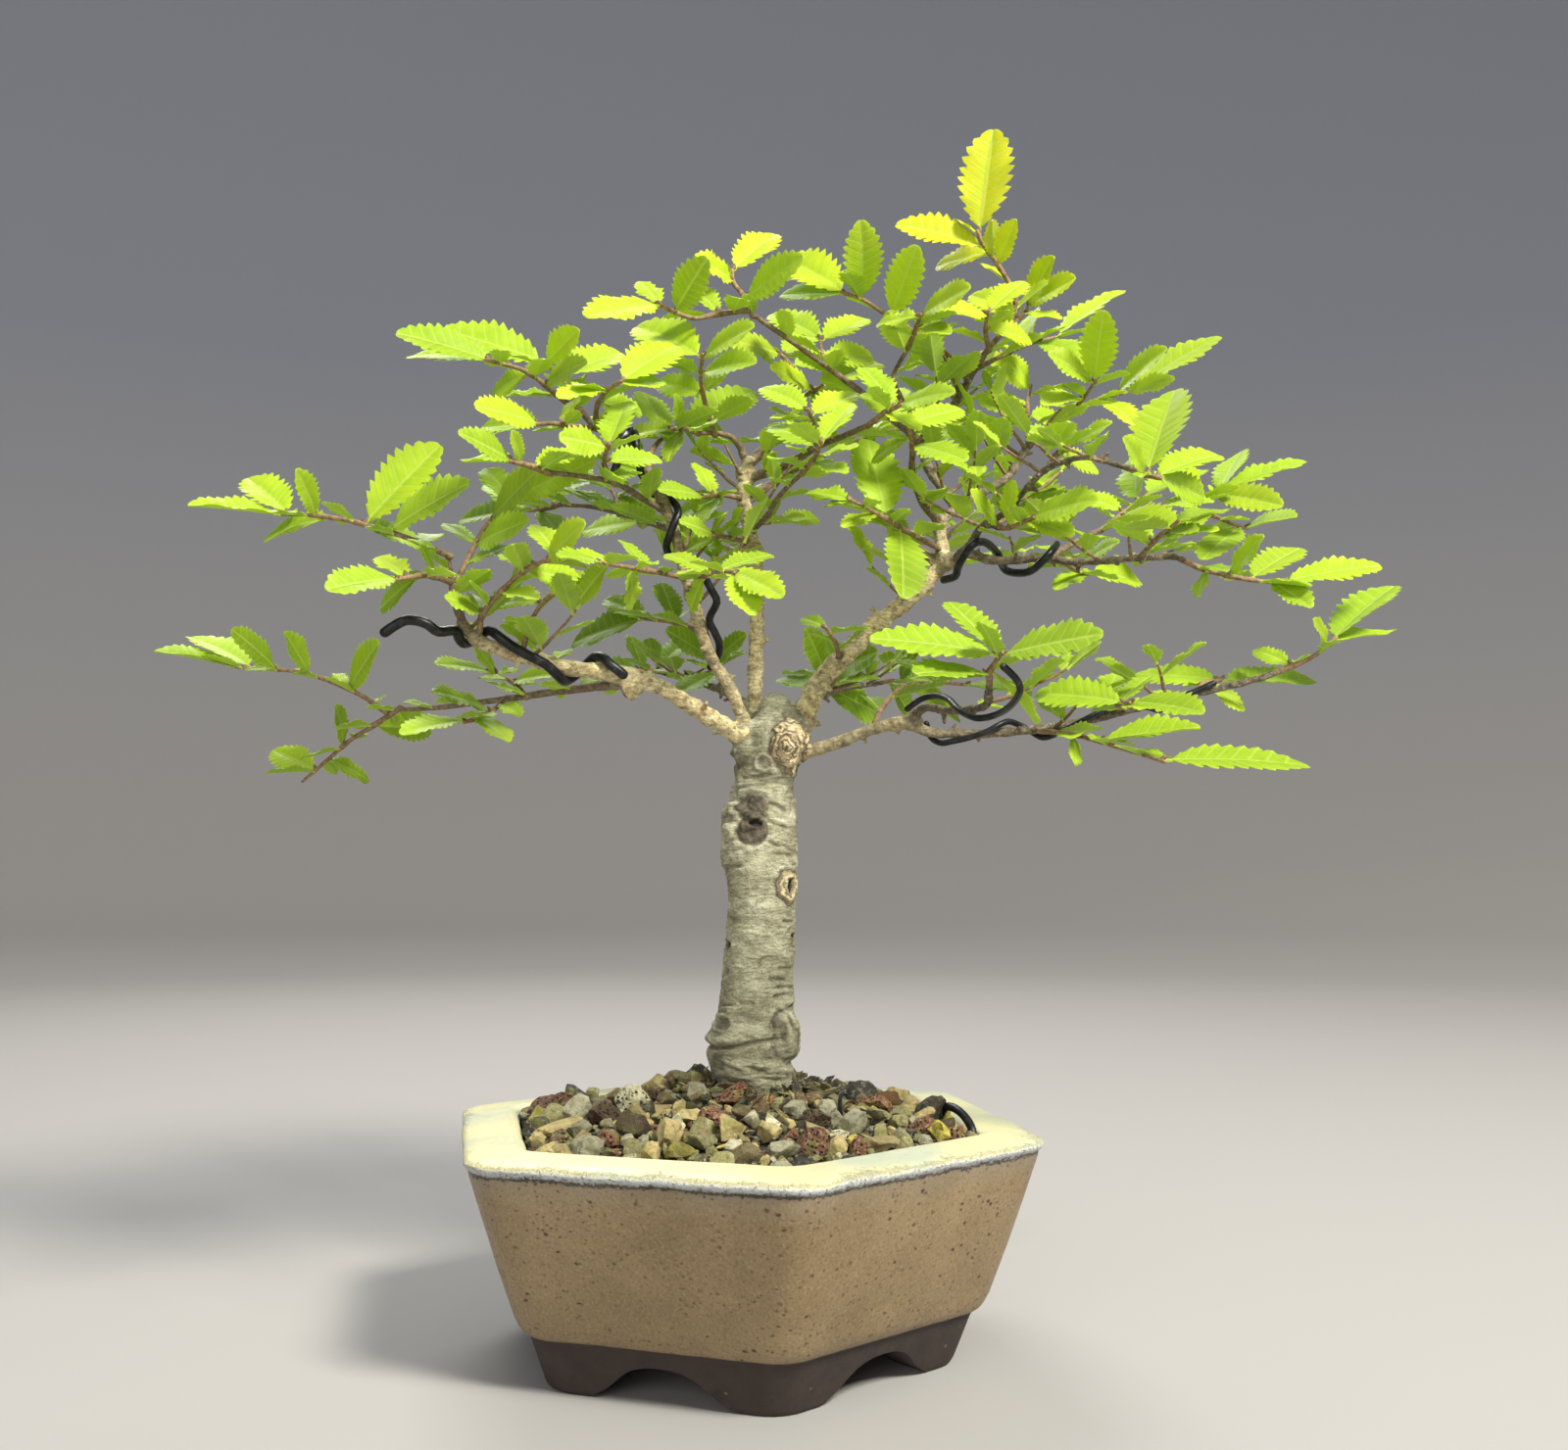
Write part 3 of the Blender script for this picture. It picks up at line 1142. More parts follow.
class Paint:
    """A material and short ways to add the nodes used here. place is the position in millimetres."""

    def __init__(self, name):
        self.material = bpy.data.materials.new(name)
        self.material.use_nodes = True
        self.tree = self.material.node_tree
        self.shader = self.tree.nodes["Principled BSDF"]
        coordinates = self.node("TexCoord", {})
        self.place = self.vector("SCALE", coordinates.outputs["Object"], 1 / MM)

    def feed(self, socket, value):
        """Links an input to a socket, or gives it a value."""
        if isinstance(value, bpy.types.NodeSocket):
            self.tree.links.new(value, socket)
        elif isinstance(value, tuple) and len(value) == 3 and socket.type == "RGBA":
            socket.default_value = (*value, 1.0)
        else:
            socket.default_value = value

    def node(self, kind, inputs, **settings):
        node = self.tree.nodes.new("ShaderNode" + kind)
        for key, value in settings.items():
            setattr(node, key, value)
        for key, value in inputs.items():
            self.feed(node.inputs[key], value)
        return node

    def vector(self, operation, one, two):
        second = "Scale" if operation == "SCALE" else 1
        return self.node("VectorMath", {0: one, second: two}, operation=operation).outputs[0]

    def noise(self, size, detail=3.0, roughness=0.55, place=None, output="Fac"):
        inputs = {"Vector": place or self.place, "Scale": 1 / size, "Detail": detail, "Roughness": roughness}
        return self.node("TexNoise", inputs).outputs[output]

    def warped(self, size, amount):
        """The place, pushed about by noise of this size by up to this amount in millimetres."""
        centred = self.vector("SUBTRACT", self.noise(size, 2.0, 0.5, output="Color"), (0.5, 0.5, 0.5))
        return self.vector("ADD", self.place, self.vector("SCALE", centred, 2 * amount))

    def cells(self, size, output="Distance", place=None):
        return self.node("TexVoronoi", {"Vector": place or self.place, "Scale": 1 / size}).outputs[output]

    def ramp(self, value, stops, hard=False):
        node = self.node("ValToRGB", {"Fac": value})
        elements = node.color_ramp.elements
        while len(elements) < len(stops):
            elements.new(0.5)
        for element, (position, colour) in zip(elements, stops):
            element.position = position
            element.color = (*colour, 1.0)
        if hard:
            node.color_ramp.interpolation = "CONSTANT"
        return node.outputs["Color"]

    def remap(self, value, low, high, to_low=0.0, to_high=1.0):
        inputs = {"Value": value, "From Min": low, "From Max": high, "To Min": to_low, "To Max": to_high}
        return self.node("MapRange", inputs).outputs["Result"]

    def math(self, operation, one, two=0.0):
        return self.node("Math", {0: one, 1: two}, operation=operation).outputs[0]

    def plus(self, one, two):
        return self.math("ADD", one, two)

    def minus(self, one, two):
        return self.math("SUBTRACT", one, two)

    def times(self, one, two):
        return self.math("MULTIPLY", one, two)

    def sway(self, value, noise, reach):
        """The value, moved down and up by the noise by up to this reach."""
        return self.plus(value, self.remap(noise, 0.3, 0.7, -reach, reach))

    def mix(self, share, one, two):
        return self.node("Mix", {0: share, 6: one, 7: two}, data_type="RGBA").outputs[2]

    def value(self, name):
        return self.node("Attribute", {}, attribute_name=name).outputs["Fac"]

    def height(self):
        return self.node("SeparateXYZ", {0: self.place}).outputs["Z"]

    def bump(self, height, distance, normal=None):
        """Raises the surface by up to this distance in millimetres."""
        inputs = {"Distance": distance * MM, "Height": height}
        if normal:
            inputs["Normal"] = normal
        return self.node("Bump", inputs).outputs["Normal"]

    def finish(self, colour, roughness, normal):
        """The material with its colour, roughness and relief."""
        for name, value in (("Base Color", colour), ("Roughness", roughness), ("Normal", normal)):
            self.feed(self.shader.inputs[name], value)
        return self.material


LEAF_LIGHT_THROUGH = 0.42


def leaf_paint():
    """Lime-green blade with pale veins and edge, paler below, that lets light through."""
    paint = Paint("leaf_blade")
    edge = paint.value("leaf_edge")
    under = paint.value("leaf_under")
    fresh = paint.sway(paint.value("leaf_youth"), paint.noise(2.4), 0.06)
    fresh = paint.plus(fresh, paint.remap(edge, 0.2, 1.0, -0.03, 0.06))
    colour = paint.ramp(fresh, (
        (0.0, (0.100, 0.210, 0.018)), (0.3, (0.260, 0.430, 0.028)), (0.6, (0.470, 0.680, 0.032)),
        (0.85, (0.690, 0.820, 0.030)), (1.0, (0.900, 0.860, 0.028)),
    ))
    dark = paint.remap(paint.value("leaf_tone"), 0.0, 1.0, 0.0, 0.34)
    colour = paint.mix(dark, colour, (0.080, 0.170, 0.018))
    lines = leaf_lines(paint)
    colour = paint.mix(paint.times(lines, 0.60), colour, (0.66, 0.76, 0.17))
    colour = paint.mix(paint.times(under, 0.40), colour, (0.30, 0.42, 0.12))
    colour = paint.mix(paint.remap(edge, 0.9, 1.0, 0.0, 0.45), colour, (0.62, 0.76, 0.12))
    paint.shader.inputs["Specular IOR Level"].default_value = 0.35
    relief = paint.minus(paint.noise(0.35, 2.0), paint.times(lines, 0.8))
    paint.finish(colour, paint.remap(under, 0.0, 1.0, 0.46, 0.62), paint.bump(relief, 0.045))
    through = paint.node("BsdfTranslucent", {"Color": paint.mix(0.5, colour, (0.72, 0.86, 0.03))})
    sides = {0: LEAF_LIGHT_THROUGH, 1: paint.shader.outputs[0], 2: through.outputs[0]}
    blend = paint.node("MixShader", sides)
    paint.feed(paint.tree.nodes["Material Output"].inputs["Surface"], blend.outputs[0])
    return paint.material


def leaf_lines(paint):
    """1 on the midrib, about half on the side veins and 0 between them."""
    turn = paint.math("FRACT", paint.plus(paint.value("leaf_vein"), 0.5))
    from_vein = paint.math("ABSOLUTE", paint.minus(turn, 0.5))
    vein = paint.remap(from_vein, 0.14, 0.03)
    rib = paint.remap(paint.value("leaf_side"), 0.34, 0.12)
    return paint.math("MAXIMUM", paint.times(vein, 0.55), rib)



def twig_paint():
    """Young shoots orange-brown, older ones dark brown with paler flecks."""
    paint = Paint("twig_bark")
    streak = paint.noise(0.9)
    young = paint.ramp(streak, ((0.3, (0.150, 0.085, 0.040)), (0.7, (0.400, 0.260, 0.120))))
    old = paint.ramp(streak, ((0.3, (0.050, 0.037, 0.024)), (0.7, (0.220, 0.168, 0.100))))
    colour = paint.mix(paint.value("twig_age"), young, old)
    fleck = paint.remap(paint.cells(0.7), 0.16, 0.08)
    colour = paint.mix(paint.times(fleck, 0.5), colour, (0.42, 0.33, 0.2))
    return paint.finish(colour, 0.72, paint.bump(paint.noise(0.45), 0.12))


def bark_paint():
    """Cream-grey trunk, tan limbs that darken as they thin, dark scars and a ridged callus."""
    paint = Paint("elm_bark")
    grain = paint.noise(0.8, 4.0, 0.6, paint.vector("MULTIPLY", paint.place, (0.5, 0.5, 1.5)))
    speck = paint.noise(0.42, 3.0, 0.7)
    crease = paint.value("bark_crease")
    callus = paint.value("bark_callus")
    rings = callus_rings(paint)
    colour = paint.mix(paint.value("bark_thin"), limb_colour(paint), thin_colour(paint))
    colour = paint.mix(paint.value("bark_trunk"), colour, trunk_colour(paint))
    colour = paint.mix(paint.remap(grain, 0.60, 0.40, 0.0, 0.50), colour, (0.120, 0.108, 0.066))
    colour = paint.mix(paint.remap(speck, 0.44, 0.34, 0.0, 0.60), colour, (0.085, 0.070, 0.042))
    colour = paint.mix(paint.remap(speck, 0.58, 0.70, 0.0, 0.45), colour, (0.700, 0.660, 0.500))
    colour = paint.mix(paint.times(crease, 0.75), colour, (0.060, 0.048, 0.028))
    colour = paint.mix(callus, colour, callus_colour(paint, rings))
    brown = paint.ramp(paint.noise(0.9, 4.0), ((0.35, (0.040, 0.035, 0.024)), (0.7, (0.170, 0.140, 0.092))))
    colour = paint.mix(paint.value("bark_scar"), colour, brown)
    colour = paint.mix(paint.value("bark_hole"), colour, (0.010, 0.008, 0.006))
    fine = paint.minus(paint.plus(paint.times(grain, 0.9), paint.times(speck, 0.8)), paint.times(crease, 1.0))
    ridges = paint.times(paint.times(rings, callus), 0.5)
    relief = paint.bump(ridges, 0.45, paint.bump(fine, 0.34))
    return paint.finish(colour, paint.remap(grain, 0.3, 0.7, 0.92, 0.66), relief)


def callus_rings(paint):
    """Waves from -1 to 1 that follow the swirl of the healed wood."""
    swirl = paint.sway(paint.value("bark_swirl"), paint.noise(2.2), 0.14)
    return paint.math("SINE", paint.times(swirl, 25.0))


def callus_colour(paint, rings):
    """Tan healed wood with a dark groove in each ring."""
    tan = paint.ramp(paint.noise(1.1, 4.0, 0.65), ((0.32, (0.34, 0.24, 0.115)), (0.62, (0.80, 0.69, 0.43))))
    groove = paint.remap(rings, -0.45, -0.95, 0.0, 0.9)
    return paint.mix(groove, tan, (0.090, 0.058, 0.028))


def trunk_colour(paint):
    """Cream-grey with greener and browner clouds, and short level streaks."""
    flat = paint.vector("MULTIPLY", paint.place, (0.55, 0.55, 1.3))
    colour = paint.ramp(paint.noise(3.4, 5.0, 0.66, flat), (
        (0.28, (0.160, 0.150, 0.090)), (0.42, (0.320, 0.310, 0.196)), (0.55, (0.480, 0.474, 0.325)),
        (0.70, (0.650, 0.645, 0.480)),
    ))
    streak = paint.noise(1.5, 3.0, 0.6, paint.vector("MULTIPLY", paint.warped(5.0, 1.2), (0.22, 0.22, 2.2)))
    colour = paint.mix(paint.remap(streak, 0.40, 0.30, 0.0, 0.75), colour, (0.115, 0.098, 0.058))
    colour = paint.mix(paint.remap(streak, 0.60, 0.72, 0.0, 0.55), colour, (0.700, 0.690, 0.520))
    mossy = paint.times(paint.remap(paint.height(), 101.0, 107.0), 0.25)
    return paint.mix(mossy, colour, (0.175, 0.185, 0.105))


def limb_colour(paint):
    """Tan and olive, rusty in places, with flaky dark patches."""
    colour = paint.ramp(paint.noise(1.5, 5.0, 0.70), (
        (0.31, (0.120, 0.086, 0.042)), (0.40, (0.430, 0.340, 0.160)), (0.50, (0.740, 0.620, 0.325)),
        (0.64, (0.900, 0.800, 0.490)),
    ))
    rust = paint.remap(paint.noise(5.5), 0.52, 0.68, 0.0, 0.40)
    return paint.mix(rust, colour, (0.580, 0.370, 0.150))


def thin_colour(paint):
    """Dark grey-brown with paler scales."""
    return paint.ramp(paint.noise(1.1, 4.0, 0.65), (
        (0.34, (0.040, 0.030, 0.019)), (0.54, (0.165, 0.125, 0.078)), (0.70, (0.420, 0.345, 0.225)),
    ))


GRIT_COLOURS = (
    ("olive", 0.24, (0.370, 0.350, 0.150)), ("tan", 0.46, (0.600, 0.480, 0.200)),
    ("charcoal", 0.60, (0.050, 0.047, 0.038)), ("grey", 0.70, (0.400, 0.385, 0.260)),
    ("brown", 0.78, (0.200, 0.130, 0.062)), ("lava", 0.85, (0.260, 0.105, 0.055)),
    ("cream", 0.94, (0.860, 0.820, 0.550)), ("yellow", 0.98, (0.720, 0.620, 0.090)),
    ("orange", 1.0, (0.620, 0.290, 0.090)),
)


def kind_value(kind):
    """The number in the middle of a kind's share."""
    low = 0.0
    for name, top, _ in GRIT_COLOURS:
        if name == kind:
            return (low + top) / 2
        low = top
    raise ValueError("no such kind of grit: " + kind)


def grit_paint():
    """Mixed stones, each with its own colour, mottled and dusty, and pores in the lava."""
    paint = Paint("mixed_grit")
    lows = (0.0,) + tuple(top for _, top, _ in GRIT_COLOURS[:-1])
    stops = [(low, shade) for low, (_, _, shade) in zip(lows, GRIT_COLOURS)]
    colour = paint.ramp(paint.value("grit_kind"), stops, True)
    mottle = paint.noise(1.0, 5.0, 0.75)
    colour = paint.mix(paint.remap(mottle, 0.54, 0.66, 0.0, 0.80), colour, (0.700, 0.640, 0.400))
    colour = paint.mix(paint.remap(mottle, 0.47, 0.34, 0.0, 0.65), colour, (0.060, 0.050, 0.030))
    algae = paint.remap(paint.noise(3.4), 0.52, 0.64, 0.0, 0.65)
    colour = paint.mix(algae, colour, (0.230, 0.225, 0.045))
    colour = paint.mix(paint.times(paint.value("grit_tone"), 0.72), colour, (0.028, 0.024, 0.016))
    pores = paint.times(paint.value("grit_pores"), paint.remap(paint.cells(0.8), 0.42, 0.18))
    colour = paint.mix(paint.times(pores, 0.9), colour, (0.018, 0.009, 0.007))
    height = paint.minus(paint.noise(0.7, 5.0, 0.75), paint.times(pores, 1.8))
    return paint.finish(colour, 0.86, paint.bump(height, 0.95))


def earth_paint():
    """The dark fines between the stones."""
    paint = Paint("dark_fines")
    colour = paint.ramp(paint.noise(1.2, 5.0, 0.65), (
        (0.35, (0.012, 0.010, 0.007)), (0.55, (0.045, 0.035, 0.022)), (0.72, (0.120, 0.098, 0.062)),
    ))
    return paint.finish(colour, 0.95, paint.bump(paint.noise(0.8, 4.0), 0.6))


# The heights at which the glaze ends over the clay and the thick rim glaze ends over the thin one
GLAZE_EDGE = 10.0
RIM_EDGE = 38.9
EDGE_BLUR = 0.15


def flecks(paint, colour, size, reach, low, shade, strength):
    """Irregular flecks of iron in a glaze: their spacing, their size in it and how many are left out."""
    place = paint.vector("MULTIPLY", paint.warped(0.9, 0.35), (0.80, 0.80, 1.15))
    speck = paint.remap(paint.cells(size, place=place), reach, reach * 0.55)
    chosen = paint.remap(paint.cells(size, "Color", place), low, low + 0.04)
    share = paint.times(paint.times(speck, chosen), strength)
    share = paint.times(share, paint.remap(paint.noise(6.0 * size), 0.38, 0.58, 0.25, 1.0))
    return paint.mix(share, colour, shade)


def glaze_colour(paint, fine, height):
    """Tan glaze, mottled and flecked, and greyer under the rim."""
    glaze = paint.ramp(paint.noise(13.0, 4.0), (
        (0.30, (0.182, 0.128, 0.062)), (0.5, (0.215, 0.153, 0.076)), (0.70, (0.255, 0.184, 0.094)),
    ))
    glaze = paint.mix(paint.remap(fine, 0.55, 0.68, 0.0, 0.55), glaze, (0.120, 0.072, 0.034))
    glaze = paint.mix(paint.remap(fine, 0.44, 0.32, 0.0, 0.35), glaze, (0.340, 0.265, 0.155))
    glaze = paint.mix(paint.remap(height, 34.0, 38.5, 0.0, 0.40), glaze, (0.185, 0.175, 0.145))
    glaze = flecks(paint, glaze, 1.1, 0.29, 0.42, (0.080, 0.036, 0.015), 0.85)
    glaze = flecks(paint, glaze, 2.0, 0.23, 0.48, (0.055, 0.024, 0.011), 1.0)
    return flecks(paint, glaze, 7.0, 0.080, 0.40, (0.036, 0.018, 0.011), 1.0)


def rim_colour(paint, crinkle, level):
    """Thick cream glaze that ends in a crinkled bluish fringe."""
    rim = paint.ramp(paint.noise(24.0, 2.0), ((0.36, (0.470, 0.510, 0.385)), (0.56, (0.640, 0.610, 0.345))))
    rim = flecks(paint, rim, 4.0, 0.14, 0.50, (0.280, 0.230, 0.110), 0.7)
    fringe = paint.ramp(crinkle, ((0.34, (0.200, 0.200, 0.205)), (0.47, (0.600, 0.625, 0.620))))
    return paint.mix(paint.remap(level, 40.5, 39.9), rim, fringe)


def clay_colour(paint):
    """Bare dark clay with a few dusty spots."""
    clay = paint.ramp(paint.noise(3.5, 5.0, 0.6), (
        (0.35, (0.026, 0.017, 0.014)), (0.65, (0.038, 0.025, 0.020)),
    ))
    dusty = paint.remap(paint.cells(5.0, place=paint.warped(2.0, 0.8)), 0.08, 0.05, 0.0, 0.35)
    return paint.mix(dusty, clay, (0.300, 0.260, 0.200))


def stoneware_paint():
    """Speckled tan glaze, thick and cream on the rim, crinkled at its edge, over bare dark clay."""
    paint = Paint("speckled_stoneware")
    height = paint.height()
    wander = paint.noise(9.0)
    fine = paint.noise(0.5, 2.0, 0.5)
    crinkle = paint.noise(0.75, 4.0, 0.75)
    level = paint.sway(paint.sway(height, wander, 0.3), crinkle, 0.45)
    glaze = glaze_colour(paint, fine, paint.sway(height, wander, 1.5))
    on_rim = paint.remap(level, RIM_EDGE - EDGE_BLUR, RIM_EDGE + EDGE_BLUR)
    glaze = paint.mix(on_rim, glaze, rim_colour(paint, crinkle, level))
    line = paint.times(paint.remap(level, 38.2, 38.7), paint.remap(level, 39.1, 38.8))
    line = paint.times(line, paint.remap(paint.noise(3.0), 0.36, 0.60, 0.15, 0.75))
    glaze = paint.mix(line, glaze, (0.045, 0.040, 0.040))
    bare = paint.remap(paint.sway(height, wander, 0.2), GLAZE_EDGE + EDGE_BLUR, GLAZE_EDGE - EDGE_BLUR)
    colour = paint.mix(bare, glaze, clay_colour(paint))
    shine = paint.remap(paint.noise(2.0), 0.3, 0.7, 0.34, 0.50)
    roughness = paint.node("Mix", {0: bare, 2: shine, 3: 0.80}).outputs[0]
    edge = paint.times(paint.remap(level, 38.4, 39.2), paint.remap(level, 40.8, 40.0))
    orange_peel = paint.plus(paint.noise(1.8), paint.times(fine, 0.30))
    relief = paint.bump(orange_peel, 0.12, paint.bump(paint.times(crinkle, edge), 1.1))
    return paint.finish(colour, roughness, relief)


def wire_paint():
    """Black anodised wire, satin, with faint rubbed streaks."""
    paint = Paint("black_wire")
    rub = paint.noise(1.6, 4.0, 0.65)
    colour = paint.ramp(rub, (
        (0.45, (0.010, 0.011, 0.013)), (0.62, (0.028, 0.028, 0.030)), (0.74, (0.090, 0.080, 0.070)),
    ))
    paint.shader.inputs["Metallic"].default_value = 0.5
    roughness = paint.remap(rub, 0.3, 0.7, 0.30, 0.50)
    return paint.finish(colour, roughness, paint.bump(paint.noise(0.5, 2.0), 0.02))


def net_paint():
    """Dull black plastic net with dust in it."""
    paint = Paint("black_net")
    dust = paint.noise(1.5, 4.0)
    colour = paint.ramp(dust, ((0.4, (0.014, 0.014, 0.014)), (0.75, (0.070, 0.060, 0.045))))
    return paint.finish(colour, paint.remap(dust, 0.3, 0.7, 0.5, 0.8), paint.bump(dust, 0.08))


def floor_paint():
    """A plain pale floor, paler further away, and a cooler wall above it."""
    paint = Paint("pale_floor")
    away = paint.node("VectorMath", {0: paint.place}, operation="LENGTH").outputs["Value"]
    floor = paint.mix(paint.remap(away, 250.0, 1500.0), (0.37, 0.362, 0.35), (0.40, 0.38, 0.35))
    colour = paint.mix(paint.remap(paint.height(), 60.0, 900.0), floor, (0.275, 0.285, 0.320))
    paint.feed(paint.shader.inputs["Base Color"], colour)
    paint.shader.inputs["Roughness"].default_value = 0.75
    return paint.material


# Leaves and twigs

TOOTH_STEPS = ((0.0, 0.74), (0.38, 0.90), (0.8, 1.0))
SMALL_TOOTH_STEPS = ((0.0, 0.75), (0.76, 1.0))
BLADE_START = 0.075
VEIN_LEAN = 0.17
QUILT = 0.17
BLADE_HALF_THICKNESS = 0.13
FINE_WIDTH = 1.08
RIB_SINK = 0.06
RIB_RISE = 0.26
VEIN_RISE = 0.05
STALK_SHARES = (0.0, 0.05, 0.1, 0.16)
STALK_RADIUS = 0.36
STALK_SINK = 0.12


def leaf_rows(teeth, steps):
    """For each row: its share of the blade, its width factor at the edge and its vein count."""
    rows = []
    for tooth in range(teeth):
        for step, factor in steps:
            rows.append(((tooth + step) / teeth, factor, tooth + step - 0.8))
    rows[0] = (0.006, 1.0, rows[0][2])
    rows.append((0.992, 1.0, teeth - 0.8))
    return np.array(rows)


def fine_envelope(share):
    """The blade's width at this share of its length, 1 where it is widest."""
    return 2.46 * share ** 0.68 * (1 - share) ** 0.62


class LeafGrid:
    """What all leaves of one fineness share: the grid of a blade and its faces."""

    def __init__(self, teeth, steps, half_columns):
        rows = leaf_rows(teeth, steps)
        columns = np.array([-t for t in half_columns[:0:-1]] + list(half_columns))
        self.row_share = rows[:, 0][:, None]
        self.vein = np.broadcast_to(rows[:, 2][:, None], (len(rows), len(columns)))
        self.across = np.abs(columns)[None, :]
        self.sign = np.sign(columns)[None, :]
        lean = VEIN_LEAN * np.sin(np.pi * self.row_share)
        self.share = self.row_share - lean * (1 - self.across ** 0.9)
        width = fine_envelope(self.row_share)
        toothed = np.where(self.across == 1.0, rows[:, 1][:, None], 1.0)
        self.width = width * self.across * toothed
        self.quilt = QUILT * np.abs(np.sin(np.pi * self.vein)) * np.sin(np.pi * self.across ** 0.8) * width
        self.rows, self.columns = self.width.shape
        self.faces = self.grid_faces()

    def grid_faces(self):
        """The blade's faces, with the rows of its upper and lower side joined at the edges."""
        top = np.arange(self.rows * self.columns).reshape(self.rows, self.columns)
        low = top + self.rows * self.columns
        low[:, 0] = top[:, 0]
        low[:, -1] = top[:, -1]
        quads = []
        for row in range(self.rows - 1):
            for column in range(self.columns - 1):
                a, b = top[row, column], top[row, column + 1]
                c, d = top[row + 1, column + 1], top[row + 1, column]
                quads.append((a, b, c, d))
                a, b = low[row, column], low[row, column + 1]
                c, d = low[row + 1, column + 1], low[row + 1, column]
                quads.append((d, c, b, a))
        for column in range(self.columns - 1):
            quads.append((low[0, column], low[0, column + 1], top[0, column + 1], top[0, column]))
            quads.append((top[-1, column], top[-1, column + 1], low[-1, column + 1], low[-1, column]))
        used = sorted({index for quad in quads for index in quad})
        renumbered = {index: place for place, index in enumerate(used)}
        self.used = np.array(used)
        return [tuple(dict.fromkeys(renumbered[index] for index in quad)) for quad in quads]


LARGE_GRID = LeafGrid(10, TOOTH_STEPS, (0.0, 0.13, 0.44, 0.74, 1.0))
SMALL_GRID = LeafGrid(9, SMALL_TOOTH_STEPS, (0.0, 0.14, 0.6, 1.0))
SMALL_LEAF = 11.5


def bent_blade(grid, leaf, draw):
    """A blade's shape: its points' shares along it, half widths, places across and rises, and its droop."""
    fold = LEAF_FOLD * draw.uniform(0.5, 1.5)
    droop = LEAF_DROOP * draw.uniform(0.5, 1.4) * leaf.length
    wave = draw.uniform(0.15, 0.42)
    wave_phase = draw.uniform(0, math.tau)
    wave_count = draw.uniform(1.4, 2.4)
    twist = draw.uniform(-0.22, 0.22)
    share = BLADE_START + (1 - BLADE_START) * grid.share
    side = grid.width * (leaf.width / 2 * FINE_WIDTH)
    side = side * (1 + 0.05 * draw.uniform(-1, 1) * grid.sign)
    rise = fold * side + droop * (share - share ** 2)
    ripple = np.sin(math.tau * (wave_count * grid.row_share) + wave_phase + 1.3 * grid.sign)
    rise = rise + wave * grid.across ** 2 * ripple * np.sin(np.pi * grid.row_share) ** 0.5
    rise = rise + grid.quilt
    offset = side * grid.sign
    angle = twist * (share - 0.3)
    turned_offset = offset * np.cos(angle) - rise * np.sin(angle)
    rise = offset * np.sin(angle) + rise * np.cos(angle)
    return share, side, turned_offset, rise, droop


def fine_leaf(heap, leaf, youth, tone, draw):
    """Adds one leaf: a serrated, quilted and slightly wavy blade on a short stalk."""
    grid = LARGE_GRID if leaf.length > SMALL_LEAF else SMALL_GRID
    share, side, offset, rise, droop = bent_blade(grid, leaf, draw)
    ones = np.ones_like(rise)
    on_rib = grid.across == 0
    thickness = BLADE_HALF_THICKNESS * (1 - grid.across ** 2) * ones
    rib = RIB_RISE * (1 - 0.75 * grid.row_share) * on_rib + 0 * rise
    vein_ridge = VEIN_RISE * (np.abs(np.sin(np.pi * grid.vein)) < 0.3) * (grid.across < 1)
    base, along, across, up = (np.array(v) for v in (leaf.base, leaf.along, leaf.across, leaf.up))
    flat = base + along * (share * leaf.length)[..., None] + across * offset[..., None]
    lifts = (thickness - RIB_SINK * on_rib, -thickness - rib - vein_ridge)
    vertices = np.concatenate([(flat + up * (rise + lift)[..., None]).reshape(-1, 3) for lift in lifts])
    values = {
        "leaf_along": grid.row_share * ones, "leaf_side": side * ones, "leaf_edge": grid.across * ones,
        "leaf_vein": grid.vein,
    }
    values = {name: np.tile(rows.ravel(), 2)[grid.used] for name, rows in values.items()}
    under = np.repeat((0.0, 1.0), ones.size)[grid.used]
    heap.add(vertices[grid.used], grid.faces, 0, leaf_under=under, leaf_tone=tone, leaf_youth=youth, **values)
    stalk = []
    for reach in STALK_SHARES:
        lift = droop * (reach - reach ** 2) - STALK_SINK
        place = leaf.base + leaf.along * (reach * leaf.length) + leaf.up * lift
        stalk.append((place, STALK_RADIUS - reach))
    heap.add(*tube(stalk, 5, False), 0, leaf_tone=tone, leaf_youth=min(1.0, youth + 0.2))


def twig_line(twig):
    """A smooth twig that reaches back over the gap to its spur and thins towards its tip."""
    line = smooth_line(twig, 4)
    start, radius = line[0]
    back = (start - line[1][0]).normalized()
    line.insert(0, (start + back * (TOUCH_GAP + 0.5), radius))
    last = len(line) - 1
    return [(point, reach * (1.0 - 0.28 * index / last)) for index, (point, reach) in enumerate(line)]


def with_nodes(line, leaves, draw):
    """The twig's line with a swelling at each leaf and slight bumps between them."""
    swollen = []
    for point, radius in line:
        near = min(((point - leaf.base).length for leaf in leaves), default=9.0)
        swell = 1 + 0.3 * math.exp(-((near / 1.1) ** 2))
        swollen.append((point, radius * swell * draw.uniform(0.93, 1.07)))
    return swollen


# A bud's rings: how far out they lie and their radius
BUD = ((0.0, 0.30), (0.35, 0.42), (0.8, 0.34), (1.2, 0.12))


def bud(heap, leaf, draw):
    """A small pointed bud in the corner between a leaf and its twig."""
    lean = leaf.along * 0.8 + Vector((draw.uniform(-0.3, 0.3), draw.uniform(-0.3, 0.3), 0.5))
    lean.normalize()
    start = leaf.base + lean * 0.35
    size = draw.uniform(0.8, 1.2)
    line = [(start + lean * (size * reach), size * width) for reach, width in BUD]
    heap.add(*tube(line, 6, False), 1, twig_age=0.75)


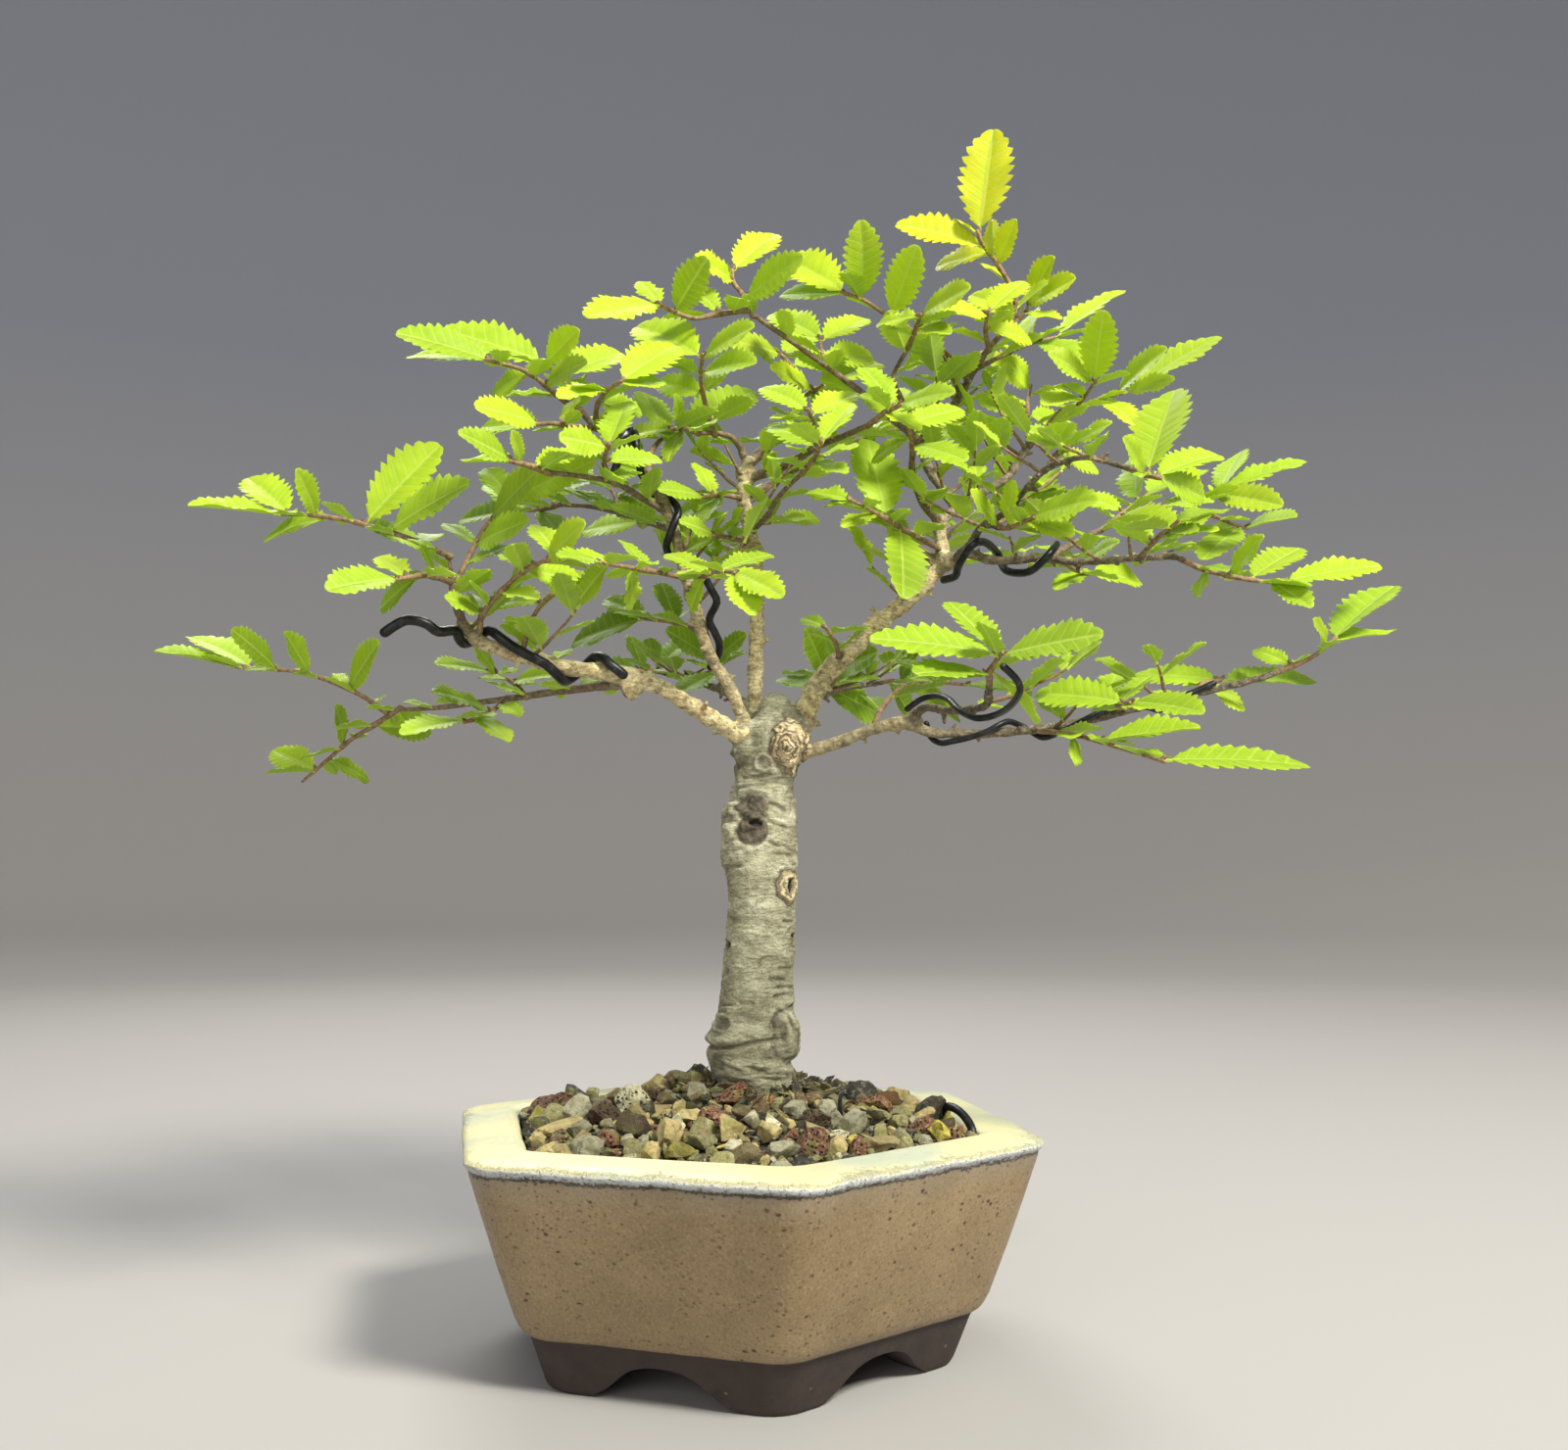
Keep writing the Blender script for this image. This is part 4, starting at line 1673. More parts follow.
# Side leaves and young shoots, with the low and high share of each limb and its number of shoots
SIDE_STEPS = (4.0, 6.6)
SIDE_LENGTHS = (6.0, 11.5)
SIDE_TRIES = 6
SHOOTS = {
    "left": (0.62, 0.98, 4), "upper_left": (0.42, 0.98, 8), "centre": (0.5, 0.98, 8),
    "right": (0.62, 0.98, 5), "right_outer": (0.1, 0.95, 6), "crown": (0.1, 0.95, 6),
    "apex": (0.1, 0.95, 5), "right_mid": (0.15, 0.95, 8), "right_arch": (0.1, 0.95, 8),
    "low_right": (0.5, 0.95, 4), "low_right_near": (0.4, 0.95, 2), "back_left": (0.5, 0.95, 4),
    "back_right": (0.5, 0.95, 4),
}
SHOOT_LENGTHS = (7.0, 14.0)
SHOOT_RADII = (0.42, 0.22)
SHOOT_TRIES = 12
SHOOT_STEPS = 6
UPWARDS = Vector((0.0, 0.0, 1.0))
PAST_TIP = 99.0


def taken_room(wires, sprigs):
    """The shapes that a side leaf or a young shoot must clear."""
    shapes = [tube_shape(line_of(TRUNK), "wood", 0.4)]
    shapes += [tube_shape(line_of(rows), "wood " + name, 0.3) for name, rows in MAIN_LIMBS.items()]
    shapes += [tube_shape(line, name, 0.1) for name, line in wires.items()]
    for name, sprig in sprigs.items():
        shapes += [tube_shape(line, name, 0.1) for line in [sprig.spur] + sprig.twigs]
        shapes += [Shape(*blade(leaf, 0.0, 0.05), name) for leaf in sprig.leaves]
    return shapes


def point_along(line, distance):
    """The point at this distance along a line of points and radii, and the line's direction there."""
    for (one, _), (two, _) in zip(line, line[1:]):
        length = (two - one).length
        if distance <= length:
            return one.lerp(two, distance / length), (two - one).normalized()
        distance -= length
    return line[-1][0].copy(), (line[-1][0] - line[-2][0]).normalized()


def side_leaf(base, along, side, length, draw):
    """A leaf that leans out of a shoot to one side, or on along it for side 0, and faces up."""
    level = along.cross(UPWARDS)
    if level.length < 0.25:
        level = Vector((draw.uniform(-1, 1), draw.uniform(-1, 1), 0.0))
    level.normalize()
    angle = math.radians(draw.uniform(40, 72)) * side
    way = along * math.cos(angle) + level * math.sin(angle) + UPWARDS * draw.uniform(-0.15, 0.3)
    leaf = Leaf(base, base + way.normalized() * length, 0, draw.uniform(0.46, 0.58))
    up = UPWARDS + Vector((draw.gauss(0, 0.26), draw.gauss(-0.05, 0.26), 0.0))
    leaf.up = (up - leaf.along * up.dot(leaf.along)).normalized()
    leaf.across = leaf.up.cross(leaf.along)
    return leaf


def try_leaf(base, along, side, length, name, taken, draw):
    """The first side leaf that has room, with its shape added to the taken ones, or None."""
    for attempt in range(SIDE_TRIES):
        leaf = side_leaf(base, along, side, length * (1 - 0.06 * attempt), draw)
        if not free_of(Shape(*blade(leaf, 0.0, 0.05), name), name, taken):
            continue
        outer = Shape(*blade(leaf, SPRAY_CLEARANCE_START, 0.05), name)
        if any(outer.meets(other) for other in taken if other.owner == name):
            continue
        taken.append(Shape(*blade(leaf, 0.0, 0.05), name))
        return leaf
    return None


def side_leaves(name, line, taken, draw):
    """Leaves along a shoot, left and right in turn, wherever there is room."""
    leaves = []
    length = line_length(line)
    run = draw.uniform(1.5, 3.5)
    side = draw.choice((-1, 1))
    while run < length - 0.8:
        base, along = point_along(line, run)
        leaf = try_leaf(base, along, side, draw.uniform(*SIDE_LENGTHS), name, taken, draw)
        if leaf:
            leaves.append(leaf)
        run += draw.uniform(*SIDE_STEPS)
        side = -side
    return leaves


def blend(one, two, share):
    return one + (two - one) * share


def shoot_line(rows, share, draw):
    """The line of a young shoot that leaves a limb sideways and turns up a little."""
    x, z, depth, radius = row_at(rows, share)
    start = seen(x, z, depth)
    limb_way = seen(*row_at(rows, min(1.0, share + 0.05))[:3]) - start
    if limb_way.length < 0.01:
        limb_way = UPWARDS.copy()
    turn = draw.uniform(0, math.tau)
    way = limb_way.normalized() * 0.5 + Vector((math.cos(turn), math.sin(turn), 0.15))
    way.normalize()
    length = radius + draw.uniform(*SHOOT_LENGTHS)
    points = []
    for step in range(SHOOT_STEPS + 1):
        part = step / SHOOT_STEPS
        rise = UPWARDS * (0.16 * length * part ** 2)
        bend = Vector([draw.uniform(-0.18, 0.18) for _ in range(3)]) * (0.0 if step == 0 else 1.0)
        points.append((start + way * (length * part) + rise + bend, blend(*SHOOT_RADII, part)))
    return points, radius


SHADED = (
    "upper_left_dark", "upper_left_back", "centre_back", "back_left_tip", "back_left_side", "back_right_tip",
    "back_right_side", "right_stub", "low_right_thin", "back_left", "back_right",
)


def smooth_share(value, low, high):
    """How far a value is from low to high, from 0 to 1, with a soft start and end."""
    share = min(1.0, max(0.0, (value - low) / (high - low)))
    return share * share * (3 - 2 * share)


def leaf_age(name, leaf, draw):
    """How yellow a leaf is, from 0 to 1, and how much darker it is than its like."""
    height = (leaf.base.z - 150) / 60
    youth = 0.60 + 0.10 * height + draw.uniform(-0.10, 0.10)
    if name in SHADED:
        youth -= 0.28
    if name == "apex_end":
        youth = max(youth, 0.8) + 0.16 * smooth_share(leaf.base.z, 202, 214)
    return min(1.0, max(0.05, youth)), draw.random() ** 2


def add_leaf(heap, name, leaf, draw):
    """Adds one leaf with the age that suits its place."""
    youth, tone = leaf_age(name, leaf, draw)
    fine_leaf(heap, leaf, youth, tone, draw)


def add_twig(heap, line, sides, first_age, last_age):
    """Adds a twig that grows younger towards its tip."""
    vertices, faces = tube(line, sides)
    rings = len(vertices) // sides
    heap.add(vertices, faces, 1, twig_age=np.repeat(np.linspace(first_age, last_age, rings), sides))


def keep(piece, slot, *nodes):
    """Rides the piece on the part's body, in the stead of CAD nodes, with its finish's slot."""
    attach(piece, "root")
    if nodes:
        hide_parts(*nodes)


def free_shoot(name, owner, taken, draw):
    """A shoot's line, the part of it outside its limb and its shape, or None without room for it."""
    low, high, _ = SHOOTS[name]
    for _ in range(SHOOT_TRIES):
        line, radius = shoot_line(LIMBS[name], draw.uniform(low, high), draw)
        outside = cut_line(line, radius + 0.6, line_length(line))
        shape = tube_shape(outside, owner, 0.1)
        if free_of(shape, owner, taken):
            return line, outside, shape
    return None


def dress_shoots(taken, materials):
    """Young shoots with small leaves, grown out of the bark of the upper limbs, one piece a limb."""
    for name, (_, _, count) in SHOOTS.items():
        draw = random.Random("shoots " + name)
        heap = Heap(LEAF_VALUES + ("twig_age",))
        for number in range(count):
            owner = "shoot %s %d" % (name, number)
            found = free_shoot(name, owner, taken, draw)
            if not found:
                continue
            line, outside, shape = found
            taken.append(shape)
            add_twig(heap, smooth_line(line, 2), 7, 0.6, 0.1)
            leaves = side_leaves(owner, outside, taken, draw)
            end = point_along(line, PAST_TIP)
            tip = try_leaf(*end, 0, draw.uniform(*SIDE_LENGTHS), owner, taken, draw)
            for leaf in leaves + ([tip] if tip else []):
                add_leaf(heap, name, leaf, draw)
        if heap.count:
            keep(heap.object("shoots_" + name, materials, 50.0), "elm_leaf")


def dress_sprig(name, sprig, taken, materials):
    """The fine piece of one leafy node."""
    draw = random.Random("dress " + name)
    heap = Heap(LEAF_VALUES + ("twig_age",))
    for index, twig in enumerate(sprig.twigs):
        line = with_nodes(twig_line(twig), sprig.leaves, draw)
        ages = (0.95, 0.7) if name in STEMS and index == 0 else (0.55, 0.0)
        add_twig(heap, line, 8, *ages)
    for leaf in sprig.leaves:
        add_leaf(heap, name, leaf, draw)
        bud(heap, leaf, draw)
    for twig in sprig.twigs:
        for leaf in side_leaves(name, smooth_line(twig, 4), taken, draw):
            add_leaf(heap, name, leaf, draw)
    piece = heap.object("fine_" + name, materials, 50.0)
    keep(piece, "elm_leaf", "leafy_" + name)


# Wood

TRUNK_VOXEL = 0.30
LIMB_VOXEL = 0.42
SKIN_SMOOTHING = 0.5
SKIN_ROUNDS = 3
# Scars on the trunk's front: place as x and z, half width, half height and kind
SCARS = (
    (2.9, 101.2, 2.9, 2.8, "plug"), (2.9, 96.8, 3.1, 2.9, "plug"), (3.4, 98.2, 1.3, 0.7, "hole"),
    (9.8, 86.1, 2.4, 3.3, "ring"), (10.1, 86.1, 0.75, 1.6, "hole"), (-2.3, 74.9, 1.0, 0.7, "hole"),
    (-3.0, 60.1, 1.5, 1.2, "oval"), (10.7, 76.6, 0.6, 0.5, "hole"), (5.0, 109.8, 1.3, 1.2, "oval"),
    (-1.8, 69.9, 0.5, 0.3, "hole"), (10.9, 63.2, 0.9, 0.35, "hole"), (-4.8, 66.0, 0.5, 0.3, "hole"),
    (9.8, 57.8, 3.0, 5.0, "disc"), (10.2, 113.8, 4.0, 5.6, "callus"),
)
# Creases in the trunk's bark: the x and z of both ends
CREASES = (
    (-3.4, 88.0, -1.6, 89.9), (-1.6, 89.9, 0.9, 90.1), (6.2, 68.6, 9.0, 68.3), (7.2, 65.2, 9.6, 65.5),
    (8.0, 70.6, 10.6, 70.4), (7.6, 67.0, 10.4, 66.8), (8.6, 79.4, 10.8, 79.3), (7.4, 92.3, 9.8, 92.1),
    (5.8, 94.6, 8.6, 93.6), (6.0, 98.6, 9.6, 97.2), (6.2, 102.0, 9.2, 100.6), (-0.6, 104.8, 5.0, 105.6),
    (0.6, 106.8, 6.4, 107.2), (-3.8, 63.6, -0.6, 63.9), (0.4, 64.2, 3.2, 64.0), (-4.2, 62.2, -2.2, 62.5),
    (-4.6, 53.0, 0.6, 51.6), (2.0, 52.4, 5.4, 51.2), (4.6, 50.2, 8.4, 49.4), (-3.0, 49.6, 1.6, 48.6),
    (5.0, 54.2, 7.4, 53.2), (7.2, 60.6, 7.4, 55.2), (9.0, 53.6, 10.2, 51.4), (7.4, 61.0, 9.2, 62.6),
)
KNOB = (9.0, 57.6, -2.0, 3.2, 3.6, 4.9)
COLLARS = {
    "left": 0.7, "upper_left": 0.5, "centre": 0.5, "right": 0.7, "low_right": 0.6, "back_left": 0.4,
    "back_right": 0.4,
}
COLLAR_LENGTH = 9.0
STUB_STEPS = (3.5, 8.0)
STUB_REACH = (0.5, 1.5)
STUB_RADIUS = 0.62
WIRE_BERTH = 2.6
# The distance between the joints of a limb and the width of the swelling at each
JOINT_STEP = 6.3
JOINT_WIDTH = 0.65


def on_trunk(knot):
    """Whether a knot belongs to the trunk and not to a limb."""
    x, z = knot[:2]
    return z < 120 and abs(x - 5) < 10


def knot_ball(heap, knot, draw):
    """Adds a knot as a lumpy ball."""
    x, z, depth, *radii = knot
    vertices, faces = ball_mesh(3)
    lumps = 1 + 0.16 * noise(vertices, 0.7, draw.randrange(1000))
    heap.add(vertices * lumps[:, None] * np.array(radii) + np.array(seen(x, z, depth)), faces)


def gather_trunk():
    """The trunk, its knots and the flares at the roots of the limbs."""
    draw = random.Random("trunk")
    heap = Heap()
    heap.add(*tube(smooth_line(line_of(TRUNK), 4), 24))
    for knot in [knot for knot in KNOTS if on_trunk(knot)][1:] + [KNOB]:
        knot_ball(heap, knot, draw)
    for name, flare in COLLARS.items():
        line = cut_line(smooth_line(line_of(LIMBS[name]), 4), 0.0, COLLAR_LENGTH)
        last = len(line) - 1
        line = [
            (point, radius + flare * (1 - index / last) - 0.15 * index / last)
            for index, (point, radius) in enumerate(line)
        ]
        heap.add(*tube(line, 16))
    return heap


def gather_limbs(sprigs, wires):
    """The limbs with their spurs, knots and the stubs of old buds."""
    draw = random.Random("limbs")
    heap = Heap()
    wound = np.array([tuple(point) for line in wires.values() for point, _ in line])
    for rows in MAIN_LIMBS.values():
        line = smooth_line(line_of(rows), 4)
        heap.add(*tube(line, 14))
        run = draw.uniform(8.0, 12.0)
        while run < line_length(line) - 1.0:
            add_stub(heap, line, run, wound, draw)
            run += draw.uniform(*STUB_STEPS)
    for sprig in sprigs.values():
        heap.add(*tube(smooth_line(sprig.spur, 2), 12))
    for knot in KNOTS:
        if not on_trunk(knot):
            knot_ball(heap, knot, draw)
    return heap


def add_stub(heap, line, run, wound, draw):
    """A short stub of an old bud or twig, unless a wire lies there."""
    point, along = point_along(line, run)
    radius = min(((point - other).length, reach) for other, reach in line)[1]
    out = Vector([draw.gauss(0, 1) for _ in range(3)])
    out = (out - along * out.dot(along)).normalized() + along * draw.uniform(0.1, 0.6)
    out.normalize()
    tip = point + out * (radius + draw.uniform(*STUB_REACH))
    if np.linalg.norm(wound - np.array(tip), axis=1).min() < WIRE_BERTH:
        return
    heap.add(*tube([(point, STUB_RADIUS), (tip, draw.uniform(0.38, 0.55))], 8))


def wood_segments(lines):
    """The straight segments of some lines: ends, radii, distance along the line and the line's number."""
    rows = []
    for number, line in enumerate(lines):
        run = 0.0
        for (one, radius_one), (two, radius_two) in zip(line, line[1:]):
            rows.append((*one, *two, radius_one, radius_two, run, number))
            run += (two - one).length
    return np.array(rows)


POINTS_AT_ONCE = 4000


def nearest_segment(points, segments):
    """For each point: local radius, distance along the line, the line's number and the room outside."""
    starts = segments[:, 0:3]
    steps = segments[:, 3:6] - starts
    lengths = np.linalg.norm(steps, axis=1)
    parts = []
    for low in range(0, len(points), POINTS_AT_ONCE):
        gap = points[low:low + POINTS_AT_ONCE, None] - starts[None]
        share = np.clip((gap * steps[None]).sum(axis=2) / lengths ** 2, 0.0, 1.0)
        off = gap - share[..., None] * steps[None]
        radius = segments[:, 6] + (segments[:, 7] - segments[:, 6]) * share
        room = np.sqrt((off ** 2).sum(axis=2)) - radius
        best = room.argmin(axis=1)
        row = np.arange(len(gap))
        run = segments[best, 8] + share[row, best] * lengths[best]
        parts.append(np.stack((radius[row, best], run, segments[best, 9], room[row, best])))
    return np.concatenate(parts, axis=1)


def disc_scar(points, number, inside, edge):
    """The folded wood of the knob at the foot."""
    folds = noise(points * np.array((1.0, 1.0, 0.6)), 1.5, 70 + number)
    mark = {"bark_scar": np.maximum(0.5 * edge, 0.8 * inside * smoothstep(-0.1, -0.5, folds))}
    return inside * 0.5 * folds - 0.5 * edge, mark


def callus_scar(points, scar, inside, edge):
    """The healed head: rings round a core beside its middle, with a crack in the core."""
    x, z, wide, high, _ = scar
    core = np.hypot((points[:, 0] - x + 0.8) / wide, (points[:, 2] - z + 1.2) / high)
    rise = 0.25 * inside * np.sin(15.0 * core + 2.0 * noise(points, 2.4, 61)) - 0.45 * edge
    crack = 0.7 * inside * smoothstep(0.12, 0.04, core + 0.2 * noise(points, 1.0, 62))
    mark = {"bark_scar": np.maximum(0.4 * edge, crack), "bark_callus": inside, "bark_swirl": inside * core}
    return rise - 0.4 * crack, mark


def scar_form(points, number, scar, front):
    """How far one scar rises, and the values that its paint reads."""
    x, z, wide, high, kind = scar
    rough = 0.16 * noise(points, 1.1, 40 + number)
    away = np.hypot((points[:, 0] - x) / wide, (points[:, 2] - z) / high) + rough
    inside = smoothstep(1.12, 0.86, away) * front
    lip = np.exp(-((away - 1.3) / 0.2) ** 2) * front
    edge = np.exp(-((away - 1.02) / 0.13) ** 2) * front
    if kind == "plug":
        rough_wood = inside * (0.35 + 0.45 * noise(points, 1.3, 7))
        return rough_wood - 0.35 * edge + 0.25 * lip, {"bark_scar": inside}
    if kind == "hole":
        return -0.9 * inside + 0.25 * lip, {"bark_hole": inside}
    if kind == "oval":
        return -0.35 * inside + 0.35 * lip, {"bark_scar": 0.55 * inside}
    if kind == "ring":
        mark = {"bark_scar": edge * 0.9, "bark_callus": inside * 0.8, "bark_swirl": inside * away * 0.5}
        return 0.2 * inside - 0.4 * edge, mark
    if kind == "disc":
        return disc_scar(points, number, inside, edge)
    return callus_scar(points, scar, inside, edge)


def scar_relief(points, normals):
    """The scars on the trunk's front: how far they rise, and the values that their paint reads."""
    rise = np.zeros(len(points))
    marks = {name: np.zeros(len(points)) for name in ("bark_scar", "bark_hole", "bark_callus", "bark_swirl")}
    front = smoothstep(-0.15, 0.15, -normals[:, 1]) * (points[:, 1] < 2.0)
    for number, scar in enumerate(SCARS):
        scar_rise, mark = scar_form(points, number, scar, front)
        rise += scar_rise
        for name, values in mark.items():
            marks[name] = np.maximum(marks[name], values)
    return rise, marks


def crease_depth(points):
    """How deep the short creases by hand are at each point, from 0 to 1."""
    depth = np.zeros(len(points))
    places = points[:, (0, 2)]
    wobble = 0.35 * noise(points, 1.4, 80)
    for x1, z1, x2, z2 in CREASES:
        start = np.array((x1, z1))
        step = np.array((x2, z2)) - start
        share = ((places - start) @ step) / (step @ step)
        away = np.linalg.norm(places - start - np.clip(share, 0.0, 1.0)[:, None] * step, axis=1)
        taper = np.clip(4 * (share + 0.15) * (1.15 - share), 0.0, 1.0)
        depth = np.maximum(depth, np.exp(-(((away + wobble * 0.5) / 0.30) ** 2)) * taper)
    return depth * (points[:, 1] < 1.0)


def cross_wrinkles(points):
    """Fine wrinkles across the trunk, most of them on its right, from 0 to 1."""
    flat = points * np.array((0.30, 0.30, 1.5))
    wrinkles = np.clip(1 - np.abs(noise(flat, 2.2, 3)) / 0.17, 0.0, 1.0)
    to_right = smoothstep(4.0, 10.0, points[:, 0])
    return wrinkles * smoothstep(-0.25, 0.30, noise(points, 5.0, 4) + 0.35 * to_right)


def foot_ring(points):
    """The groove round the foot beside its knob, and the collar above the groove."""
    x, z = points[:, 0], points[:, 2]
    tilt = z - 0.13 * (x - 3) - 56.7 + 0.5 * noise(points, 4.0, 6)
    beside_knob = smoothstep(9.5, 7.0, x)
    ring = np.exp(-(tilt / 0.42) ** 2) * beside_knob
    return ring, np.exp(-((tilt - 1.3) / 1.0) ** 2) * beside_knob


def bark_flap(x, z):
    """The loose flap of bark on the upper left, thickest at its lower edge."""
    left_side = smoothstep(2.2, -1.2, x) * smoothstep(102.6, 101.8, z) * smoothstep(86.0, 94.0, z)
    return left_side * (0.6 + 0.6 * smoothstep(99.4, 100.2, z))


def flaky_bark(points):
    """Where the bark flakes: in the crotch, at the right edge, by the soil and under the flap."""
    x, z = points[:, 0], points[:, 2]
    right_edge = np.exp(-(((x - 11.4) / 1.3) ** 2 + ((z - 100.0) / 6.5) ** 2))
    crotch = np.exp(-(((x + 1.2) / 2.4) ** 2 + ((z - 110.5) / 4.0) ** 2))
    soil_line = smoothstep(50.5, 48.0, z)
    under_flap = smoothstep(1.0, -1.0, x) * np.exp(-((z - 99.4) / 0.45) ** 2)
    flaky = np.maximum.reduce((crotch, right_edge, 0.8 * soil_line))
    return np.maximum(flaky * smoothstep(-0.35, 0.25, noise(points, 1.3, 11)), 0.8 * under_flap)


def trunk_relief(points, normals):
    """How far each point of the trunk moves along its normal, and the values its bark reads."""
    x, z = points[:, 0], points[:, 2]
    rooms = nearest_segment(points, wood_segments([line_of(TRUNK)]))[3]
    lumps = 0.38 * noise(points, 7.0, 1) + 0.20 * noise(points, 2.6, 2)
    wrinkles = cross_wrinkles(points)
    fine = 0.10 * noise(points * np.array((0.5, 0.5, 1.6)), 0.9, 12)
    head = smoothstep(102.0, 105.0, z) * smoothstep(113.0, 110.0, z)
    base = smoothstep(60.0, 52.0, z)
    folds = noise(points * np.array((0.28, 0.28, 1.0)), 1.5, 5)
    ring, collar = foot_ring(points)
    creases = crease_depth(points)
    flaky = flaky_bark(points)
    rise = lumps - 0.20 * wrinkles + fine + (0.45 * head + 0.45 * base) * folds - 0.8 * ring + 0.4 * collar
    rise += bark_flap(x, z) - 0.5 * creases
    scar_rise, marks = scar_relief(points, normals)
    rise += scar_rise
    rise += flaky * 0.35
    dark_folds = (head + base) * smoothstep(-0.15, -0.55, folds)
    marks["bark_scar"] = np.clip(np.maximum(marks["bark_scar"], 0.85 * flaky), 0, 1)
    crease = np.maximum.reduce((0.45 * wrinkles, ring, 0.6 * creases, 0.8 * dark_folds))
    values = {
        "bark_trunk": smoothstep(4.8, 2.4, rooms) * smoothstep(126.0, 123.5, z),
        "bark_crease": np.clip(crease, 0, 1),
        "bark_thin": np.zeros(len(points)),
    }
    values.update({name: np.clip(rows, 0, 2) for name, rows in marks.items()})
    return rise, values


def limb_relief(points, segments):
    """How far each point of the limbs moves along its normal, and the values its bark reads."""
    radii, runs, numbers, _ = nearest_segment(points, segments)
    scaled = np.clip(radii / 2.2, 0.3, 1.0)
    knobbly = noise(points, 1.5, 8) * 0.22 + noise(points, 0.85, 9) * 0.13
    phase = runs / JOINT_STEP + numbers * 0.37
    joint = np.exp(-(((phase % 1.0) - 0.5) * JOINT_STEP / JOINT_WIDTH) ** 2)
    rise = scaled * (knobbly * 1.3 + 0.25 * joint + 0.22 * noise(points, 3.6, 10))
    flaky = smoothstep(0.25, 0.6, noise(points, 1.1, 14))
    values = {
        "bark_trunk": np.zeros(len(points)),
        "bark_crease": np.clip(np.maximum(0.35 * joint, 0.3 * flaky), 0, 1),
        "bark_thin": smoothstep(1.6, 0.8, radii),
    }
    return rise, values


def skin(heap, voxel):
    """One closed skin over the gathered shapes: its mesh, points and outward normals."""
    rough = bpy.data.meshes.new("rough_skin")
    rough.from_pydata(np.concatenate(heap.vertices), [], heap.faces)
    holder = into_scene("rough_skin", rough)
    remesh = holder.modifiers.new("Skin", "REMESH")
    remesh.mode = "VOXEL"
    remesh.voxel_size = voxel
    smooth = holder.modifiers.new("Smooth", "SMOOTH")
    smooth.factor = SKIN_SMOOTHING
    smooth.iterations = SKIN_ROUNDS
    mesh = finished_mesh(holder)
    bpy.data.objects.remove(holder)
    return mesh, vertex_rows(mesh.vertices, "co"), vertex_rows(mesh.vertex_normals, "vector")


def finish_skin(name, mesh, points, values, material, *nodes):
    """Moves the skin's points, gives it its values and paint, and keeps it as a piece."""
    move_points(mesh, points)
    give_values(mesh, values)
    paint_over(mesh, material)
    mesh.update()
    keep(into_scene(name, mesh), "elm_bark", *nodes)


def dress_wood(sprigs, wires, material):
    """A skin over the trunk and one over the limbs and spurs, each with its bark's relief."""
    mesh, points, normals = skin(gather_trunk(), TRUNK_VOXEL)
    rise, values = trunk_relief(points, normals)
    finish_skin("trunk_skin", mesh, points + normals * rise[:, None], values, material, "wood")
    mesh, points, normals = skin(gather_limbs(sprigs, wires), LIMB_VOXEL)
    lines = [line_of(rows) for rows in MAIN_LIMBS.values()] + [sprig.spur for sprig in sprigs.values()]
    rise, values = limb_relief(points, wood_segments(lines))
    finish_skin("limb_skin", mesh, points + normals * rise[:, None], values, material)


# Pot: its outside and its inside, as rows of height and corner radius

POT_SKIN = (
    (0.0, 41.8), (0.4, 42.4), (1.2, 42.9), (8.8, 46.0), (9.5, 46.4), (9.9, 47.0), (10.5, 47.9),
    (11.4, 48.6), (13.0, 49.5), (21.4, 52.85), (29.9, 56.0), (37.9, 58.9), (38.5, 58.95),
    (38.9, 59.1), (39.3, 59.6), (39.8, 59.95), (40.3, 59.95), (40.7, 59.6), (41.0, 58.7),
    (41.25, 56.5), (41.45, 54.0), (41.65, 51.5), (41.7, 50.0),
)
POT_HOLLOW = (
    (11.0, 36.0), (13.0, 38.0), (36.0, 46.2), (39.4, 47.1), (40.6, 47.4), (41.2, 47.9), (41.55, 48.8),
    (41.9, 50.4),
)
SKIN_CORNER_ROUNDING = 7.5
# The steps round a corner of the pot and along a side
POT_STEPS = (8, 12)
POT_WAVE = 0.22
CLAY_WAVE = 0.12
CUT_PAST = 2.0
DRAIN_HEIGHTS = (3.0, 14.0)
# The tunnels between the feet: how far out they start and end, and half of their outline
ARCH_REACH = (23.0, 53.0)
ARCH_OUTLINE = (
    (15.0, -0.8), (13.2, 0.2), (12.2, 0.7), (11.0, 1.4), (9.8, 2.2), (8.7, 3.1), (7.5, 4.2),
    (6.2, 5.2), (4.6, 6.0), (2.6, 6.5), (0.0, 6.7),
)


def hexagon_reach(angle):
    """How far a side is at this angle, as a share of the corner radius."""
    sixth = math.pi / 3
    turn = (angle - POT_TURN + sixth / 2) % sixth - sixth / 2
    return math.cos(sixth / 2) / math.cos(turn)


def hexagon_ring(height, corner_radius, rounding, segments):
    """Points round a hexagon with rounded corners."""
    points = []
    sixth = math.pi / 3
    inset = rounding / math.tan(sixth)
    arc_radius = inset * math.tan(sixth)
    centre = corner_radius - arc_radius / math.cos(sixth / 2)
    for corner in range(6):
        middle = POT_TURN + sixth / 2 + corner * sixth
        for step in range(segments + 1):
            turn = middle + sixth * (step / segments - 0.5)
            x = centre * math.cos(middle) + arc_radius * math.cos(turn)
            y = centre * math.sin(middle) + arc_radius * math.sin(turn)
            points.append((x, y, height))
    return points


